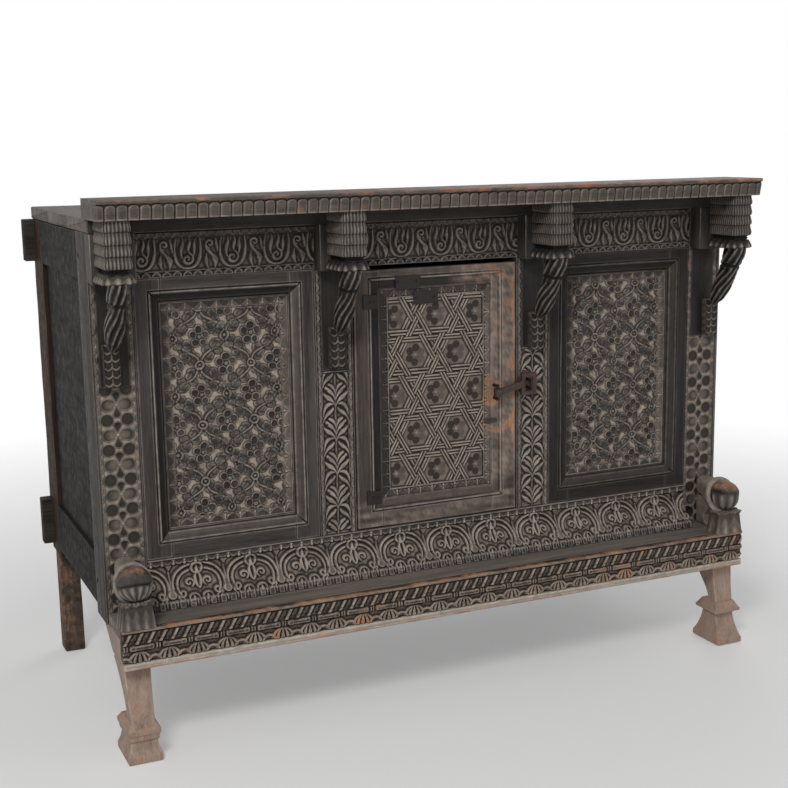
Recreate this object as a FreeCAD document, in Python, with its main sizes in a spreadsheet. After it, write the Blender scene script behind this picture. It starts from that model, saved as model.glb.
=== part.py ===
"""Damchiya chest: a carved dowry cabinet on legs, with one hinged door and a hasp.

The case is a framed box. Its front plane lies at the place front_face, the
carving projects from it towards -Y, +X is the right of the front and +Z is up.
The origin is the middle of the floor under the whole chest.
"""
import FreeCAD, Part
import os
import re
import Sketcher

# Driving dimensions in millimetres: alias, value, meaning
SIZES = [
    ("case_width", 1350, "over the outer faces of the posts"),
    ("case_depth", 540, "front face of the front posts to back of the rear posts"),
    ("case_top", 965, "top of the top boards above the floor"),
    ("top_thickness", 25, "top boards"),
    ("top_front_reach", 35, "top boards in front of the posts"),
    ("cornice_height", 35, "carved lip above the top boards"),
    ("cornice_overhang", 130, "cornice in front of the posts"),
    ("cornice_depth", 130, "front to back"),
    ("cornice_side_reach", 3, "past the outer faces of the posts"),
    ("cornice_joint_offset", 112, "joint of the two lengths, right of the middle"),
    ("cornice_bead", 6, "rounded edge on top of the cornice"),
    ("cornice_slope", 6, "how far its face leans back at the bottom"),
    ("post_width", 80, "front and rear posts"),
    ("post_depth", 80, "front posts"),
    ("rear_post_depth", 90, "rear posts"),
    ("rear_leg_side", 44, "rear legs, below the lower rails"),
    ("rear_leg_inset", 4, "rear legs from the outer faces of the post"),
    ("mullion_width", 76, "uprights beside the door"),
    ("mullion_depth", 60, "uprights beside the door"),
    ("mullion_offset", 216, "middle of an upright from the middle of the chest"),
    ("head_rail_height", 85, "carved frieze rail"),
    ("lower_rail_top", 337.5, "top of the carved lower rail above the floor"),
    ("front_rail_depth", 42, "frieze rail and lower rail"),
    ("tenon_length", 28, "tenons of the main frame"),
    ("tenon_thickness", 16, "tenons of the main frame"),
    ("tenon_setback", 13, "tenons behind the face of their rail"),
    ("tenon_shoulder", 8, "rail height left above and below a tenon"),
    ("peg_diameter", 9, "wooden pegs that lock the tenons"),
    ("peg_length", 44, "wooden pegs that lock the tenons"),
    ("ledge_top", 250, "top of the ledge above the floor"),
    ("ledge_thickness", 22, "ledge board"),
    ("ledge_reach", 109, "ledge in front of the posts"),
    ("ledge_tongue", 10, "ledge board let into the lower rail"),
    ("ledge_end_inset", 3, "ends of ledge and apron inside the posts"),
    ("apron_bottom", 188, "lower edge of the apron above the floor"),
    ("apron_thickness", 20, "apron boards"),
    ("strip_height", 13, "plain strip under the apron"),
    ("strip_setback", 2, "plain strip behind the face of the apron"),
    ("side_rail_depth", 30, "side rails, across the chest"),
    ("side_upper_height", 87, "upper side and back rails"),
    ("side_lower_top", 344, "top of the lower side and back rails above the floor"),
    ("side_lower_height", 100, "lower side and back rails"),
    ("side_panel_thickness", 16, "side panels and back boards"),
    ("side_board_count", 3, "upright boards of a side panel"),
    ("side_panel_recess", 9, "panels behind the faces of their rails"),
    ("groove_depth", 8, "panel edges let into the frame"),
    ("back_rail_thickness", 28, "back rails"),
    ("back_board_inset", 6, "back boards in front of the back of their rails"),
    ("stub_reach", 22, "back rail ends past the rear posts"),
    ("back_board_count", 4, "boards between the back rails"),
    ("floor_thickness", 18, "floor boards"),
    ("floor_top", 328, "top of the floor boards above the floor"),
    ("floor_board_count", 4, "floor boards, front to back"),
    ("top_board_count", 3, "top boards, front to back"),
    ("window_stile", 49, "uprights of a fixed carved panel"),
    ("window_rail_upper", 46, "upper rail of a fixed carved panel"),
    ("window_rail_lower", 52, "lower rail of a fixed carved panel"),
    ("window_frame_depth", 32, "frame of a fixed carved panel"),
    ("window_setback", 2, "frame of a fixed carved panel behind the posts"),
    ("field_recess", 12, "carved fields behind the faces of their frames"),
    ("field_thickness", 12, "carved fields"),
    ("leaf_tenon", 20, "tenons of the panel frames and the door"),
    ("leaf_tenon_thickness", 10, "tenons of the panel frames and the door"),
    ("door_thickness", 30, "door frame"),
    ("door_gap", 3, "round the door, except on top"),
    ("door_gap_above", 9, "over the door"),
    ("door_stile_left", 54, "hinge stile"),
    ("door_stile_right", 54, "lock stile"),
    ("door_rail_upper", 38, "upper door rail"),
    ("door_rail_lower", 55, "lower door rail"),
    ("door_panel_recess", 3, "carved door panel behind the face of its frame"),
    ("door_panel_thickness", 14, "carved door panel"),
    ("pivot_diameter", 12, "door pivots"),
    ("pivot_in_door", 30, "door pivots, length in the stile"),
    ("pivot_in_frame", 14, "door pivots, length in the rails"),
    ("pivot_clearance", 0.4, "round a pivot in its socket"),
    ("socket_clearance", 2, "past the end of a pivot"),
    ("plate_thickness", 2, "iron mending plates and straps"),
    ("strap_width", 30, "corner straps of the door"),
    ("strap_height", 27, "corner straps of the door"),
    ("strap_edge", 47, "corner straps from the ends of the door"),
    ("slot_plate_width", 52, "iron mending plates"),
    ("slot_plate_height", 25, "iron mending plates"),
    ("slot_plate_drop", 25, "middle of the upper mending plate under the door top"),
    ("strap_inset", 4, "corner straps from the pivot line"),
    ("slot_plate_offset", 62, "upper mending plate, left of the middle"),
    ("slot_plate_step_x", 39, "lower mending plate to the right of the upper one"),
    ("slot_plate_step_z", 33, "lower mending plate under the upper one"),
    ("rivet_diameter", 5, "rivets of the irons"),
    ("rivet_length", 10, "rivets of the irons"),
    ("rivet_head", 1.5, "rivet heads above the plates"),
    ("rivet_edge", 6, "rivets from the edges of their plate"),
    ("rivet_clearance", 2, "strap rivets past the rounded hinge edge of the door"),
    ("hasp_drop", 42, "rosette plate under the tail of the hanging leaf"),
    ("hasp_pivot_edge", 48, "pivot of the hasp from the free edge of the door"),
    ("hasp_rise", 12, "far end of the hasp above its pivot"),
    ("hasp_standoff", 15, "middle of the hasp in front of the door"),
    ("hasp_thickness", 5, "hasp arm"),
    ("hasp_arm_height", 13, "hasp arm"),
    ("hasp_eye_diameter", 18, "hasp eye"),
    ("hasp_eye_height", 16, "hasp eye"),
    ("hasp_end_width", 34, "hasp end, along the arm"),
    ("hasp_end_height", 44, "hasp end"),
    ("hasp_slot_width", 17, "slot over the receiving staple"),
    ("hasp_slot_height", 28, "slot over the receiving staple"),
    ("hasp_clearance", 0.5, "round the pivot rod of the hasp"),
    ("staple_rod", 6, "rods of both staples"),
    ("staple_span", 26, "legs of the door staple, apart"),
    ("staple_depth", 18, "staple legs in the wood"),
    ("receiver_span", 16, "legs of the receiving staple, apart"),
    ("receiver_reach", 30, "receiving staple in front of the upright"),
    ("receiver_edge", 19, "receiving staple from the edge of the upright"),
    ("rosette_lobe", 26, "diameter of a lobe of the rosette plate"),
    ("rosette_offset", 13, "middle of a lobe from the middle of the plate"),
    ("rosette_thickness", 3, "rosette plate"),
    ("capital_width", 50, "bracket capitals"),
    ("capital_front", 116, "bracket capitals in front of the posts"),
    ("capital_outset", 8, "outer capitals from the middle of their posts"),
    ("ring_count", 4, "rings of a capital"),
    ("ring_height", 20.5, "each of the rings of a capital"),
    ("ring_gap", 2, "groove between two rings"),
    ("ring_gap_depth", 5, "groove between two rings"),
    ("neck_height", 9, "discs under the rings"),
    ("neck_inset", 8, "discs inside the rings"),
    ("abacus_height", 16, "splayed leaf plate"),
    ("abacus_width", 62, "splayed leaf plate"),
    ("block_reach", 35, "backing block in front of the posts"),
    ("block_drop", 2, "backing block below the frieze rail"),
    ("pendant_width", 34, "hanging leaf"),
    ("pendant_drop", 126, "hanging leaf, top to tip"),
    ("pendant_reach", 115, "hanging leaf in front of the posts"),
    ("tail_width", 28, "tail under the leaf"),
    ("tail_length", 64, "tail under the leaf"),
    ("tail_reach", 20, "tail in front of the posts"),
    ("tail_lap", 12, "tail behind the tip of the leaf"),
    ("leg_width", 52, "front legs"),
    ("leg_outset", 7, "middle of a front leg from the middle of its post"),
    ("leg_reach", 115, "feet of the front legs in front of the posts"),
    ("leg_clearance", 4, "knee of a front leg behind the apron"),
    ("leg_back", 76, "top of a front leg behind the face of the posts"),
    ("leg_neck_height", 68, "base of a front leg"),
    ("leg_base_width", 64, "foot of a front leg"),
    ("leg_base_depth", 92, "foot of a front leg"),
    ("leg_plinth", 12, "straight edge at the floor"),
    ("leg_neck_width", 46, "base of a front leg at its top"),
    ("leg_neck_depth", 40, "base of a front leg at its top"),
    ("leg_tenon_side", 34, "tenon of a front leg in the post"),
    ("leg_tenon_length", 20, "tenon of a front leg in the post"),
    ("leg_collar_height", 16, "moulding over the base"),
    ("leg_collar_width", 66, "moulding over the base"),
    ("leg_collar_depth", 70, "moulding over the base"),
    ("scroll_outset", 5, "corner scrolls from the middle of their posts"),
    ("scroll_reach", 85, "middle of a scroll bud in front of the posts"),
    ("scroll_height", 78, "middle of a scroll bud above the ledge"),
    ("bud_diameter", 68, "scroll bud"),
    ("collar_diameter", 12, "ring round a scroll bud"),
    ("pedestal_width", 64, "pedestal of a scroll"),
    ("pedestal_depth", 50, "pedestal of a scroll"),
    ("pedestal_height", 46, "pedestal of a scroll"),
    ("scroll_arm_width", 50, "arm between the post and the bud"),
    ("scroll_board", 24, "leaf board under the arm"),
    ("bud_ring_back", 12, "ring round the bud, behind its middle"),
]

# Places and lengths that follow from the driving dimensions
PLACES = {
    "half_width": "case_width / 2",
    "front_face": "-(case_depth - cornice_overhang) / 2",
    "back_face": "front_face + case_depth",
    "frame_top": "case_top - top_thickness",
    "head_bottom": "frame_top - head_rail_height",
    "post_inner": "half_width - post_width",
    "post_middle": "half_width - post_width / 2",
    "rear_post_front": "back_face - rear_post_depth",
    "mullion_inner": "mullion_offset - mullion_width / 2",
    "mullion_outer": "mullion_offset + mullion_width / 2",
    "lower_rail_bottom": "ledge_top - ledge_thickness",
    "side_lower_bottom": "side_lower_top - side_lower_height",
    "side_upper_bottom": "frame_top - side_upper_height",
    "door_left": "-mullion_inner + door_gap",
    "door_right": "mullion_inner - door_gap",
    "door_bottom": "lower_rail_top + door_gap",
    "door_top": "head_bottom - door_gap_above",
    "hinge_x": "door_left + door_thickness / 2",
    "hinge_y": "front_face + door_thickness / 2",
    "hasp_x": "door_right - hasp_pivot_edge",
    "hasp_y": "front_face - hasp_standoff",
    "receiver_x": "mullion_inner + receiver_edge",
    "back_rail_front": "back_face - back_rail_thickness",
    "rings_bottom": "case_top - ring_count * ring_height",
    "abacus_top": "rings_bottom - neck_height",
    "abacus_bottom": "abacus_top - abacus_height",
    "tail_bottom": "abacus_bottom - pendant_drop - tail_length",
    "receiver_z": "tail_bottom - hasp_drop - rosette_offset - rosette_lobe / 2",
    "hasp_height": "receiver_z - hasp_rise",
    "bud_z": "ledge_top + scroll_height",
    "bud_y": "front_face - scroll_reach",
    "scroll_x": "post_middle + scroll_outset",
    "leg_x": "post_middle + leg_outset",
    "knee_reach": "ledge_reach - apron_thickness - leg_clearance",
    "strip_bottom": "apron_bottom - strip_height",
    "collar_top": "leg_neck_height + leg_collar_height",
}

# Side outline of a front leg over its collar. Front edge downwards from the knee:
# (share of the way from the knee's reach to the foot's, share of the height
# between the collar and the strip under the apron)
SHIN_OUTLINE_SHARES = [(0.00, 1.00), (0.23, 0.72), (0.53, 0.47), (0.80, 0.22), (0.88, 0.00)]
# Rear edge upwards: (share of its reach in front of the posts where negative, or
# of its depth behind their faces where positive, share of its height)
CALF_OUTLINE_SHARES = [
    (-0.64, 0.00), (-0.60, 0.17), (-0.47, 0.34), (-0.26, 0.51), (0.00, 0.67), (0.50, 0.83), (1.00, 1.00),
]
# Side outline of a hanging leaf: (share of its reach, share of its drop)
LEAF_OUTLINE_SHARES = [
    (1.00, 0.00), (0.98, 0.10), (0.89, 0.26), (0.80, 0.40), (0.70, 0.54),
    (0.58, 0.68), (0.50, 0.80), (0.42, 0.90), (0.26, 1.00), (0.12, 0.93),
    (0.18, 0.82), (0.26, 0.70), (0.33, 0.56), (0.40, 0.42), (0.47, 0.26),
    (0.55, 0.10), (0.58, 0.00),
]
# Side outlines of the arm behind a scroll bud and of the leaf board under it:
# (share of the scroll's reach, share of the bud's height above the ledge)
ARM_OUTLINE_SHARES = [
    (0.00, 1.40), (0.30, 1.40), (0.72, 1.42), (1.00, 1.38), (1.00, 0.85),
    (0.62, 0.74), (0.00, 0.74),
]
BOARD_OUTLINE_SHARES = [
    (0.00, 0.80), (0.56, 0.80), (0.50, 0.52), (0.34, 0.30), (0.38, 0.10),
    (0.46, 0.00), (0.00, 0.00),
]

doc = FreeCAD.newDocument("damchiya_chest")
sheet = doc.addObject("Spreadsheet::Sheet", "Sizes")
for row, (alias, value, meaning) in enumerate(SIZES, start=1):
    sheet.set("A%d" % row, alias)
    sheet.set("B%d" % row, str(value))
    sheet.set("C%d" % row, meaning)
    sheet.setAlias("B%d" % row, alias)
doc.recompute()

ALIASES = {alias for alias, value, meaning in SIZES}
WORD = re.compile(r"[a-z_]+[a-z]")


def formula(text):
    """The sheet's expression for a text that uses aliases and place names."""
    def swap(match):
        word = match.group()
        if word in PLACES:
            return "(" + formula(PLACES[word]) + ")"
        if word not in ALIASES:
            raise ValueError("unknown size: " + word)
        return "Sizes." + word
    return WORD.sub(swap, text)


def bind(thing, name, text):
    thing.setExpression(name, formula(text))


def place(thing, x, y, z):
    """Puts a thing's own origin at a point given as formulas."""
    bind(thing, "Placement.Base.x", x)
    bind(thing, "Placement.Base.y", y)
    bind(thing, "Placement.Base.z", z)


def box(name, x, y, z):
    """A block between a low and a high formula on each axis."""
    block = doc.addObject("Part::Box", name)
    bind(block, "Length", "(%s) - (%s)" % (x[1], x[0]))
    bind(block, "Width", "(%s) - (%s)" % (y[1], y[0]))
    bind(block, "Height", "(%s) - (%s)" % (z[1], z[0]))
    place(block, x[0], y[0], z[0])
    return block


AXIS_TURNS = {
    "x": FreeCAD.Rotation(FreeCAD.Vector(0, 1, 0), 90),
    "y": FreeCAD.Rotation(FreeCAD.Vector(1, 0, 0), -90),
    "z": FreeCAD.Rotation(),
}


def rod(name, axis, start, length, diameter):
    """A round bar from a start point along +X, +Y or +Z."""
    bar = doc.addObject("Part::Cylinder", name)
    bar.Placement.Rotation = AXIS_TURNS[axis]
    bind(bar, "Radius", "(%s) / 2" % diameter)
    bind(bar, "Height", length)
    place(bar, *start)
    return bar


def fuse(name, parts):
    joined = doc.addObject("Part::MultiFuse", name)
    joined.Shapes = parts
    joined.Refine = True
    return joined


def cut(name, base, tools):
    """base without the tools, which may be several."""
    result = doc.addObject("Part::Cut", name)
    result.Base = base
    result.Tool = tools[0] if len(tools) == 1 else fuse(name + "_tools", tools)
    return result


def group(name, parts):
    """Separate solids of one kind under one name."""
    gathered = doc.addObject("Part::Compound", name)
    gathered.Links = parts
    return gathered


def mirror(name, source):
    """The same piece on the other side of the chest."""
    image = doc.addObject("Part::Mirroring", name)
    image.Source = source
    image.Base = FreeCAD.Vector(0, 0, 0)
    image.Normal = FreeCAD.Vector(1, 0, 0)
    return image


def role_plane(body, role):
    return [f for f in body.Origin.OriginFeatures if f.Role == role][0]


def profile(name, plane, points, length, start):
    """A body padded from a closed outline whose points are pairs of formulas.

    On YZ_Plane the points are (y, z) and the pad runs along +X from start; on
    XZ_Plane they are (x, z) and the pad runs along -Y from start.
    """
    body = doc.addObject("PartDesign::Body", name)
    sketch = body.newObject("Sketcher::SketchObject", name + "_outline")
    sketch.AttachmentSupport = [(role_plane(body, plane), "")]
    sketch.MapMode = "FlatFace"
    values = [(value_of(a), value_of(b)) for a, b in points]
    total = len(points)
    for i in range(total):
        a = FreeCAD.Vector(values[i][0], values[i][1], 0)
        b = FreeCAD.Vector(values[(i + 1) % total][0], values[(i + 1) % total][1], 0)
        sketch.addGeometry(Part.LineSegment(a, b), False)
    for i in range(total):
        sketch.addConstraint(Sketcher.Constraint("Coincident", i, 2, (i + 1) % total, 1))
    for i, (a, b) in enumerate(points):
        for kind, text, value in (("DistanceX", a, values[i][0]), ("DistanceY", b, values[i][1])):
            index = sketch.addConstraint(Sketcher.Constraint(kind, -1, 1, i, 1, value))
            sketch.setExpression("Constraints[%d]" % index, formula(text))
    pad = body.newObject("PartDesign::Pad", name + "_pad")
    pad.Profile = sketch
    bind(pad, "Length", length)
    if plane == "YZ_Plane":
        bind(body, "Placement.Base.x", start)
    else:
        bind(body, "Placement.Base.y", start)
    return body


def value_of(text):
    """The number that a formula gives now, for an outline's first points."""
    number = re.sub(r"Sizes\.(\w+)", lambda m: str(sheet.get(m.group(1))), formula(text))
    return float(PROBE.evalExpression(number))


PROBE = doc.addObject("App::FeaturePython", "Probe")

nodes = []


def node(thing):
    """Marks a thing as a piece of the chest under its own name."""
    thing.Label = thing.Name
    nodes.append(thing)
    return thing


def both_sides(base_name, maker):
    """A left piece and its mirror image on the right."""
    left = node(maker(base_name + "_left"))
    return left, node(mirror(base_name + "_right", left))


def count(alias):
    return int(float(sheet.get(alias)))


def spread(low, high, i, total):
    """The i-th of equal shares between two formulas, as a low and a high formula."""
    step = "((%s) - (%s)) / %s" % (high, low, total)
    start = "(%s) + %d * %s" % (low, i, step)
    return (start, "(%s) + %s" % (start, step))


# Main frame, left half first: raw blocks, the tenons and the pegs that lock them

post_x = ("-half_width", "-post_inner")
front_post_y = ("front_face", "front_face + post_depth")
rear_post_y = ("rear_post_front", "back_face")
front_post_block = box("front_post_block", post_x, front_post_y, ("lower_rail_bottom", "frame_top"))
rear_post_block = box("rear_post_block", post_x, rear_post_y, ("side_lower_bottom", "frame_top"))

front_rail_y = ("front_face", "front_face + front_rail_depth")
tenon_y = ("front_face + tenon_setback", "front_face + tenon_setback + tenon_thickness")
tenon_x = ("-half_width + tenon_setback", "-half_width + tenon_setback + tenon_thickness")
head_z = ("head_bottom", "frame_top")
lower_z = ("lower_rail_bottom", "lower_rail_top")


def inside(z):
    """The height of a tenon in a rail of that height."""
    return ("%s + tenon_shoulder" % z[0], "%s - tenon_shoulder" % z[1])


def front_tenon(name, z):
    reach = "post_inner + tenon_length"
    return box(name, ("-(%s)" % reach, reach), tenon_y, inside(z))


head_tenon = front_tenon("head_tenon", head_z)
lower_tenon = front_tenon("lower_tenon", lower_z)

side_rail_x = ("-half_width", "-half_width + side_rail_depth")
side_rail_y = ("front_face + post_depth", "rear_post_front")
side_zs = {
    "upper": ("side_upper_bottom", "frame_top"),
    "lower": ("side_lower_bottom", "side_lower_top"),
}
side_tenon_y = ("%s - tenon_length" % side_rail_y[0], "%s + tenon_length" % side_rail_y[1])
side_tenons = {
    level: box("side_tenon_" + level, tenon_x, side_tenon_y, inside(z)) for level, z in side_zs.items()
}



def peg(name, axis, x, y, z):
    """A peg through the middle of the height of a tenon."""
    return rod(name, axis, (x, y, "(%s + %s) / 2" % z), "peg_length", "peg_diameter")


front_peg_x = "-post_inner - tenon_length / 2"
front_pegs = [
    peg("front_peg_%d" % i, "y", front_peg_x, "front_face", z) for i, z in enumerate((head_z, lower_z))
]
side_peg_ys = ("%s - tenon_length / 2" % side_rail_y[0], "%s + tenon_length / 2" % side_rail_y[1])
side_pegs = [
    peg("side_peg_%d_%s" % (i, level), "x", "-half_width", y, z)
    for level, z in side_zs.items()
    for i, y in enumerate(side_peg_ys)
]
left_pegs = group("left_pegs", front_pegs + side_pegs)
right_pegs = mirror("right_pegs", left_pegs)
node(group("frame_pegs", [left_pegs, right_pegs]))

panel_x = (
    "-half_width + side_panel_recess",
    "-half_width + side_panel_recess + side_panel_thickness",
)
panel_y = ("%s - groove_depth" % side_rail_y[0], "%s + groove_depth" % side_rail_y[1])
panel_z = ("side_lower_top - groove_depth", "side_upper_bottom + groove_depth")
side_groove = box("side_groove", panel_x, panel_y, panel_z)

back_x = ("-(half_width + stub_reach)", "half_width + stub_reach")
back_rails = {
    level: box("back_rail_block_" + level, back_x, ("back_rail_front", "back_face"), z)
    for level, z in side_zs.items()
}
back_board_y = ("back_face - back_board_inset - side_panel_thickness", "back_face - back_board_inset")
back_board_x = ("-(post_inner + groove_depth)", "post_inner + groove_depth")
back_groove = box("back_groove", back_board_x, back_board_y, panel_z)

leg_x_low = "-leg_x - leg_tenon_side / 2"
leg_tenon = box(
    "leg_tenon",
    (leg_x_low, "%s + leg_tenon_side" % leg_x_low),
    ("front_face + (post_depth - leg_tenon_side) / 2", "front_face + (post_depth + leg_tenon_side) / 2"),
    ("lower_rail_bottom", "lower_rail_bottom + leg_tenon_length"),
)

front_cuts = [head_tenon, lower_tenon, side_groove, leg_tenon, left_pegs] + list(side_tenons.values())
both_sides("front_post", lambda name: cut(name, front_post_block, front_cuts))

rear_leg = box(
    "rear_leg",
    ("-half_width + rear_leg_inset", "-half_width + rear_leg_inset + rear_leg_side"),
    ("back_face - rear_leg_inset - rear_leg_side", "back_face - rear_leg_inset"),
    ("0", "side_lower_bottom"),
)
rear_cuts = [side_groove, back_groove, left_pegs] + list(side_tenons.values()) + list(back_rails.values())
rear_post_whole = fuse("rear_post_whole", [rear_post_block, rear_leg])
both_sides("rear_post", lambda name: cut(name, rear_post_whole, rear_cuts))

# Uprights beside the door, tenoned into the frieze rail and the lower rail

mullion_x = ("-mullion_outer", "-mullion_inner")
mullion_body = box(
    "mullion_body", mullion_x, ("front_face", "front_face + mullion_depth"), ("lower_rail_top", "head_bottom")
)
mullion_tenon = box(
    "mullion_tenon",
    ("-mullion_outer + tenon_shoulder", "-mullion_inner - tenon_shoulder"),
    tenon_y,
    ("lower_rail_top - tenon_length", "head_bottom + tenon_length"),
)
mullion_whole = fuse("mullion_whole", [mullion_body, mullion_tenon])
mullion_image = mirror("mullion_image", mullion_whole)

# Door pivots and their sockets

pivot_top_length = "pivot_in_door + door_gap_above + pivot_in_frame"
pivot_low_length = "pivot_in_door + door_gap + pivot_in_frame"
pivot_low_start = "lower_rail_top - pivot_in_frame"
pivot_top_start = "door_top - pivot_in_door"
pivots = [
    rod("pivot_top", "z", ("hinge_x", "hinge_y", pivot_top_start), pivot_top_length, "pivot_diameter"),
    rod("pivot_low", "z", ("hinge_x", "hinge_y", pivot_low_start), pivot_low_length, "pivot_diameter"),
]
socket_length = "pivot_in_frame + socket_clearance"
socket_diameter = "pivot_diameter + 2 * pivot_clearance"
socket_low_start = "lower_rail_top - pivot_in_frame - socket_clearance"
socket_top = rod("socket_top", "z", ("hinge_x", "hinge_y", "head_bottom"), socket_length, socket_diameter)
socket_low = rod("socket_low", "z", ("hinge_x", "hinge_y", socket_low_start), socket_length, socket_diameter)

# Frieze rail, lower rail with its ledge, and the apron under it

front_rail_x = ("-post_inner", "post_inner")
all_pegs = group("all_pegs", [left_pegs, right_pegs])
mullions = [mullion_whole, mullion_image]
head_whole = fuse("head_whole", [box("head_body", front_rail_x, front_rail_y, head_z), head_tenon])
node(cut("head_rail", head_whole, mullions + [all_pegs, socket_top]))

ledge_x = ("-half_width + ledge_end_inset", "half_width - ledge_end_inset")
ledge_z = ("lower_rail_bottom", "ledge_top")
ledge_front = "front_face - ledge_reach"
ledge_body = box("ledge_body", ledge_x, (ledge_front, "front_face"), ledge_z)
ledge_tongue = box(
    "ledge_tongue_block",
    front_rail_x,
    ("front_face", "front_face + ledge_tongue"),
    ("lower_rail_bottom + ledge_thickness / 3", "ledge_top - ledge_thickness / 3"),
)
node(fuse("ledge_board", [ledge_body, ledge_tongue]))

floor_z = ("floor_top - floor_thickness", "floor_top")
floor_x = ("-(half_width - side_rail_depth + groove_depth)", "half_width - side_rail_depth + groove_depth")
floor_y = ("front_face + front_rail_depth - groove_depth", "back_rail_front + groove_depth")
floor_groove = box("floor_groove", floor_x, floor_y, floor_z)
lower_whole = fuse("lower_whole", [box("lower_body", front_rail_x, front_rail_y, lower_z), lower_tenon])
node(cut("lower_rail", lower_whole, mullions + [all_pegs, socket_low, ledge_tongue, floor_groove]))

apron_y = (ledge_front, ledge_front + " + apron_thickness")
node(box("apron_front", ledge_x, apron_y, ("apron_bottom", "lower_rail_bottom")))
strip_y = (ledge_front + " + strip_setback", apron_y[1])
node(box("apron_backing_strip", ledge_x, strip_y, ("strip_bottom", "apron_bottom")))

# Side rails and panels, back rails and boards, floor and top

for level, z in side_zs.items():
    rail_block = box("side_rail_block_" + level, side_rail_x, side_rail_y, z)
    rail_whole = fuse("side_rail_whole_" + level, [rail_block, side_tenons[level]])
    side_tools = [side_groove, left_pegs, floor_groove]
    both_sides("side_rail_" + level, lambda name: cut(name, rail_whole, side_tools))
    node(cut("back_rail_" + level, back_rails[level], [back_groove, floor_groove]))

side_boards = [
    box("side_board_%d" % i, panel_x, spread(panel_y[0], panel_y[1], i, "side_board_count"), panel_z)
    for i in range(count("side_board_count"))
]
both_sides("side_panel", lambda name: group(name, side_boards))
back_boards = []
for i in range(count("back_board_count")):
    board_z = spread(panel_z[0], panel_z[1], i, "back_board_count")
    back_boards.append(box("back_board_%d" % i, back_board_x, back_board_y, board_z))
node(group("back_boards", back_boards))

front_post_image = mirror("front_post_image", front_post_block)
rear_post_image = mirror("rear_post_image", rear_post_block)
post_blocks = [front_post_block, front_post_image, rear_post_block, rear_post_image]
floor_boards = [
    cut(
        "floor_board_%d" % i,
        box("floor_plank_%d" % i, floor_x, spread(floor_y[0], floor_y[1], i, "floor_board_count"), floor_z),
        post_blocks,
    )
    for i in range(count("floor_board_count"))
]
node(group("floor_boards", floor_boards))

top_y = ("front_face - top_front_reach", "back_face")
for i in range(count("top_board_count")):
    board_y = spread(top_y[0], top_y[1], i, "top_board_count")
    node(box("top_board_%d" % (i + 1), ("-half_width", "half_width"), board_y, ("frame_top", "case_top")))

# Cornice in two lengths, with a rounded edge and a face that leans back

cornice_front = "front_face - cornice_overhang"
cornice_top = "case_top + cornice_height"
cornice_back = cornice_front + " + cornice_depth"
cornice_outline = [
    (cornice_front + " + cornice_slope", "case_top"),
    (cornice_back, "case_top"),
    (cornice_back, cornice_top),
    (cornice_front + " + cornice_bead / 2", cornice_top),
    (cornice_front, cornice_top + " - cornice_bead / 2"),
    (cornice_front + " + cornice_bead / 2", cornice_top + " - cornice_bead"),
]
cornice_left_length = "half_width + cornice_side_reach + cornice_joint_offset"
cornice_right_length = "half_width + cornice_side_reach - cornice_joint_offset"
cornice_start = "-(half_width + cornice_side_reach)"
node(profile("cornice_left", "YZ_Plane", cornice_outline, cornice_left_length, cornice_start))
node(profile("cornice_right", "YZ_Plane", cornice_outline, cornice_right_length, "cornice_joint_offset"))

# Bracket capitals under the cornice, with the leaves that hang from them


def capital(name, middle, block_x):
    """Backing block, ringed drum, neck discs and splayed leaf plate."""
    def centred(width):
        return ("%s - (%s) / 2" % (middle, width), "%s + (%s) / 2" % (middle, width))
    drum_back = "front_face - block_reach"
    drum_front = "front_face - capital_front"
    parts = [
        box(name + "_block", block_x, (drum_back, "front_face"), ("head_bottom - block_drop", "frame_top")),
        box(
            name + "_core",
            centred("capital_width - 2 * ring_gap_depth"),
            (drum_front + " + ring_gap_depth", drum_back),
            ("rings_bottom", "case_top"),
        ),
        box(
            name + "_neck",
            centred("capital_width - 2 * neck_inset"),
            (drum_front + " + neck_inset", drum_back),
            ("abacus_top", "rings_bottom"),
        ),
        box(
            name + "_abacus",
            centred("abacus_width"),
            (drum_front, drum_back),
            ("abacus_bottom", "abacus_top"),
        ),
    ]
    for i in range(count("ring_count")):
        top = "case_top - %d * ring_height" % i
        ring_z = ("%s - ring_height + ring_gap" % top, top)
        parts.append(box("%s_ring_%d" % (name, i), centred("capital_width"), (drum_front, drum_back), ring_z))
    return fuse(name, parts)


def pendant(name, middle):
    """Hanging leaf that curls back to the post, and its tail on the post."""
    outline = [
        ("front_face - %s * pendant_reach" % reach, "abacus_bottom - %s * pendant_drop" % drop)
        for reach, drop in LEAF_OUTLINE_SHARES
    ]
    leaf = profile(name + "_leaf", "YZ_Plane", outline, "pendant_width", "%s - pendant_width / 2" % middle)
    tail_top = "abacus_bottom - pendant_drop + tail_lap"
    tail = box(
        name + "_tail",
        ("%s - tail_width / 2" % middle, "%s + tail_width / 2" % middle),
        ("front_face - tail_reach", "front_face"),
        ("abacus_bottom - pendant_drop - tail_length", tail_top),
    )
    return fuse(name, [leaf, tail])


outer_middle = "-(post_middle + capital_outset)"
both_sides("capital_outer", lambda name: capital(name, outer_middle, post_x))
both_sides("capital_inner", lambda name: capital(name, "-mullion_offset", mullion_x))
both_sides("pendant_outer", lambda name: pendant(name, outer_middle))
both_sides("pendant_inner", lambda name: pendant(name, "-mullion_offset"))


# Front legs: foot, collar and a raked shaft with a tenon in the post


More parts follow.
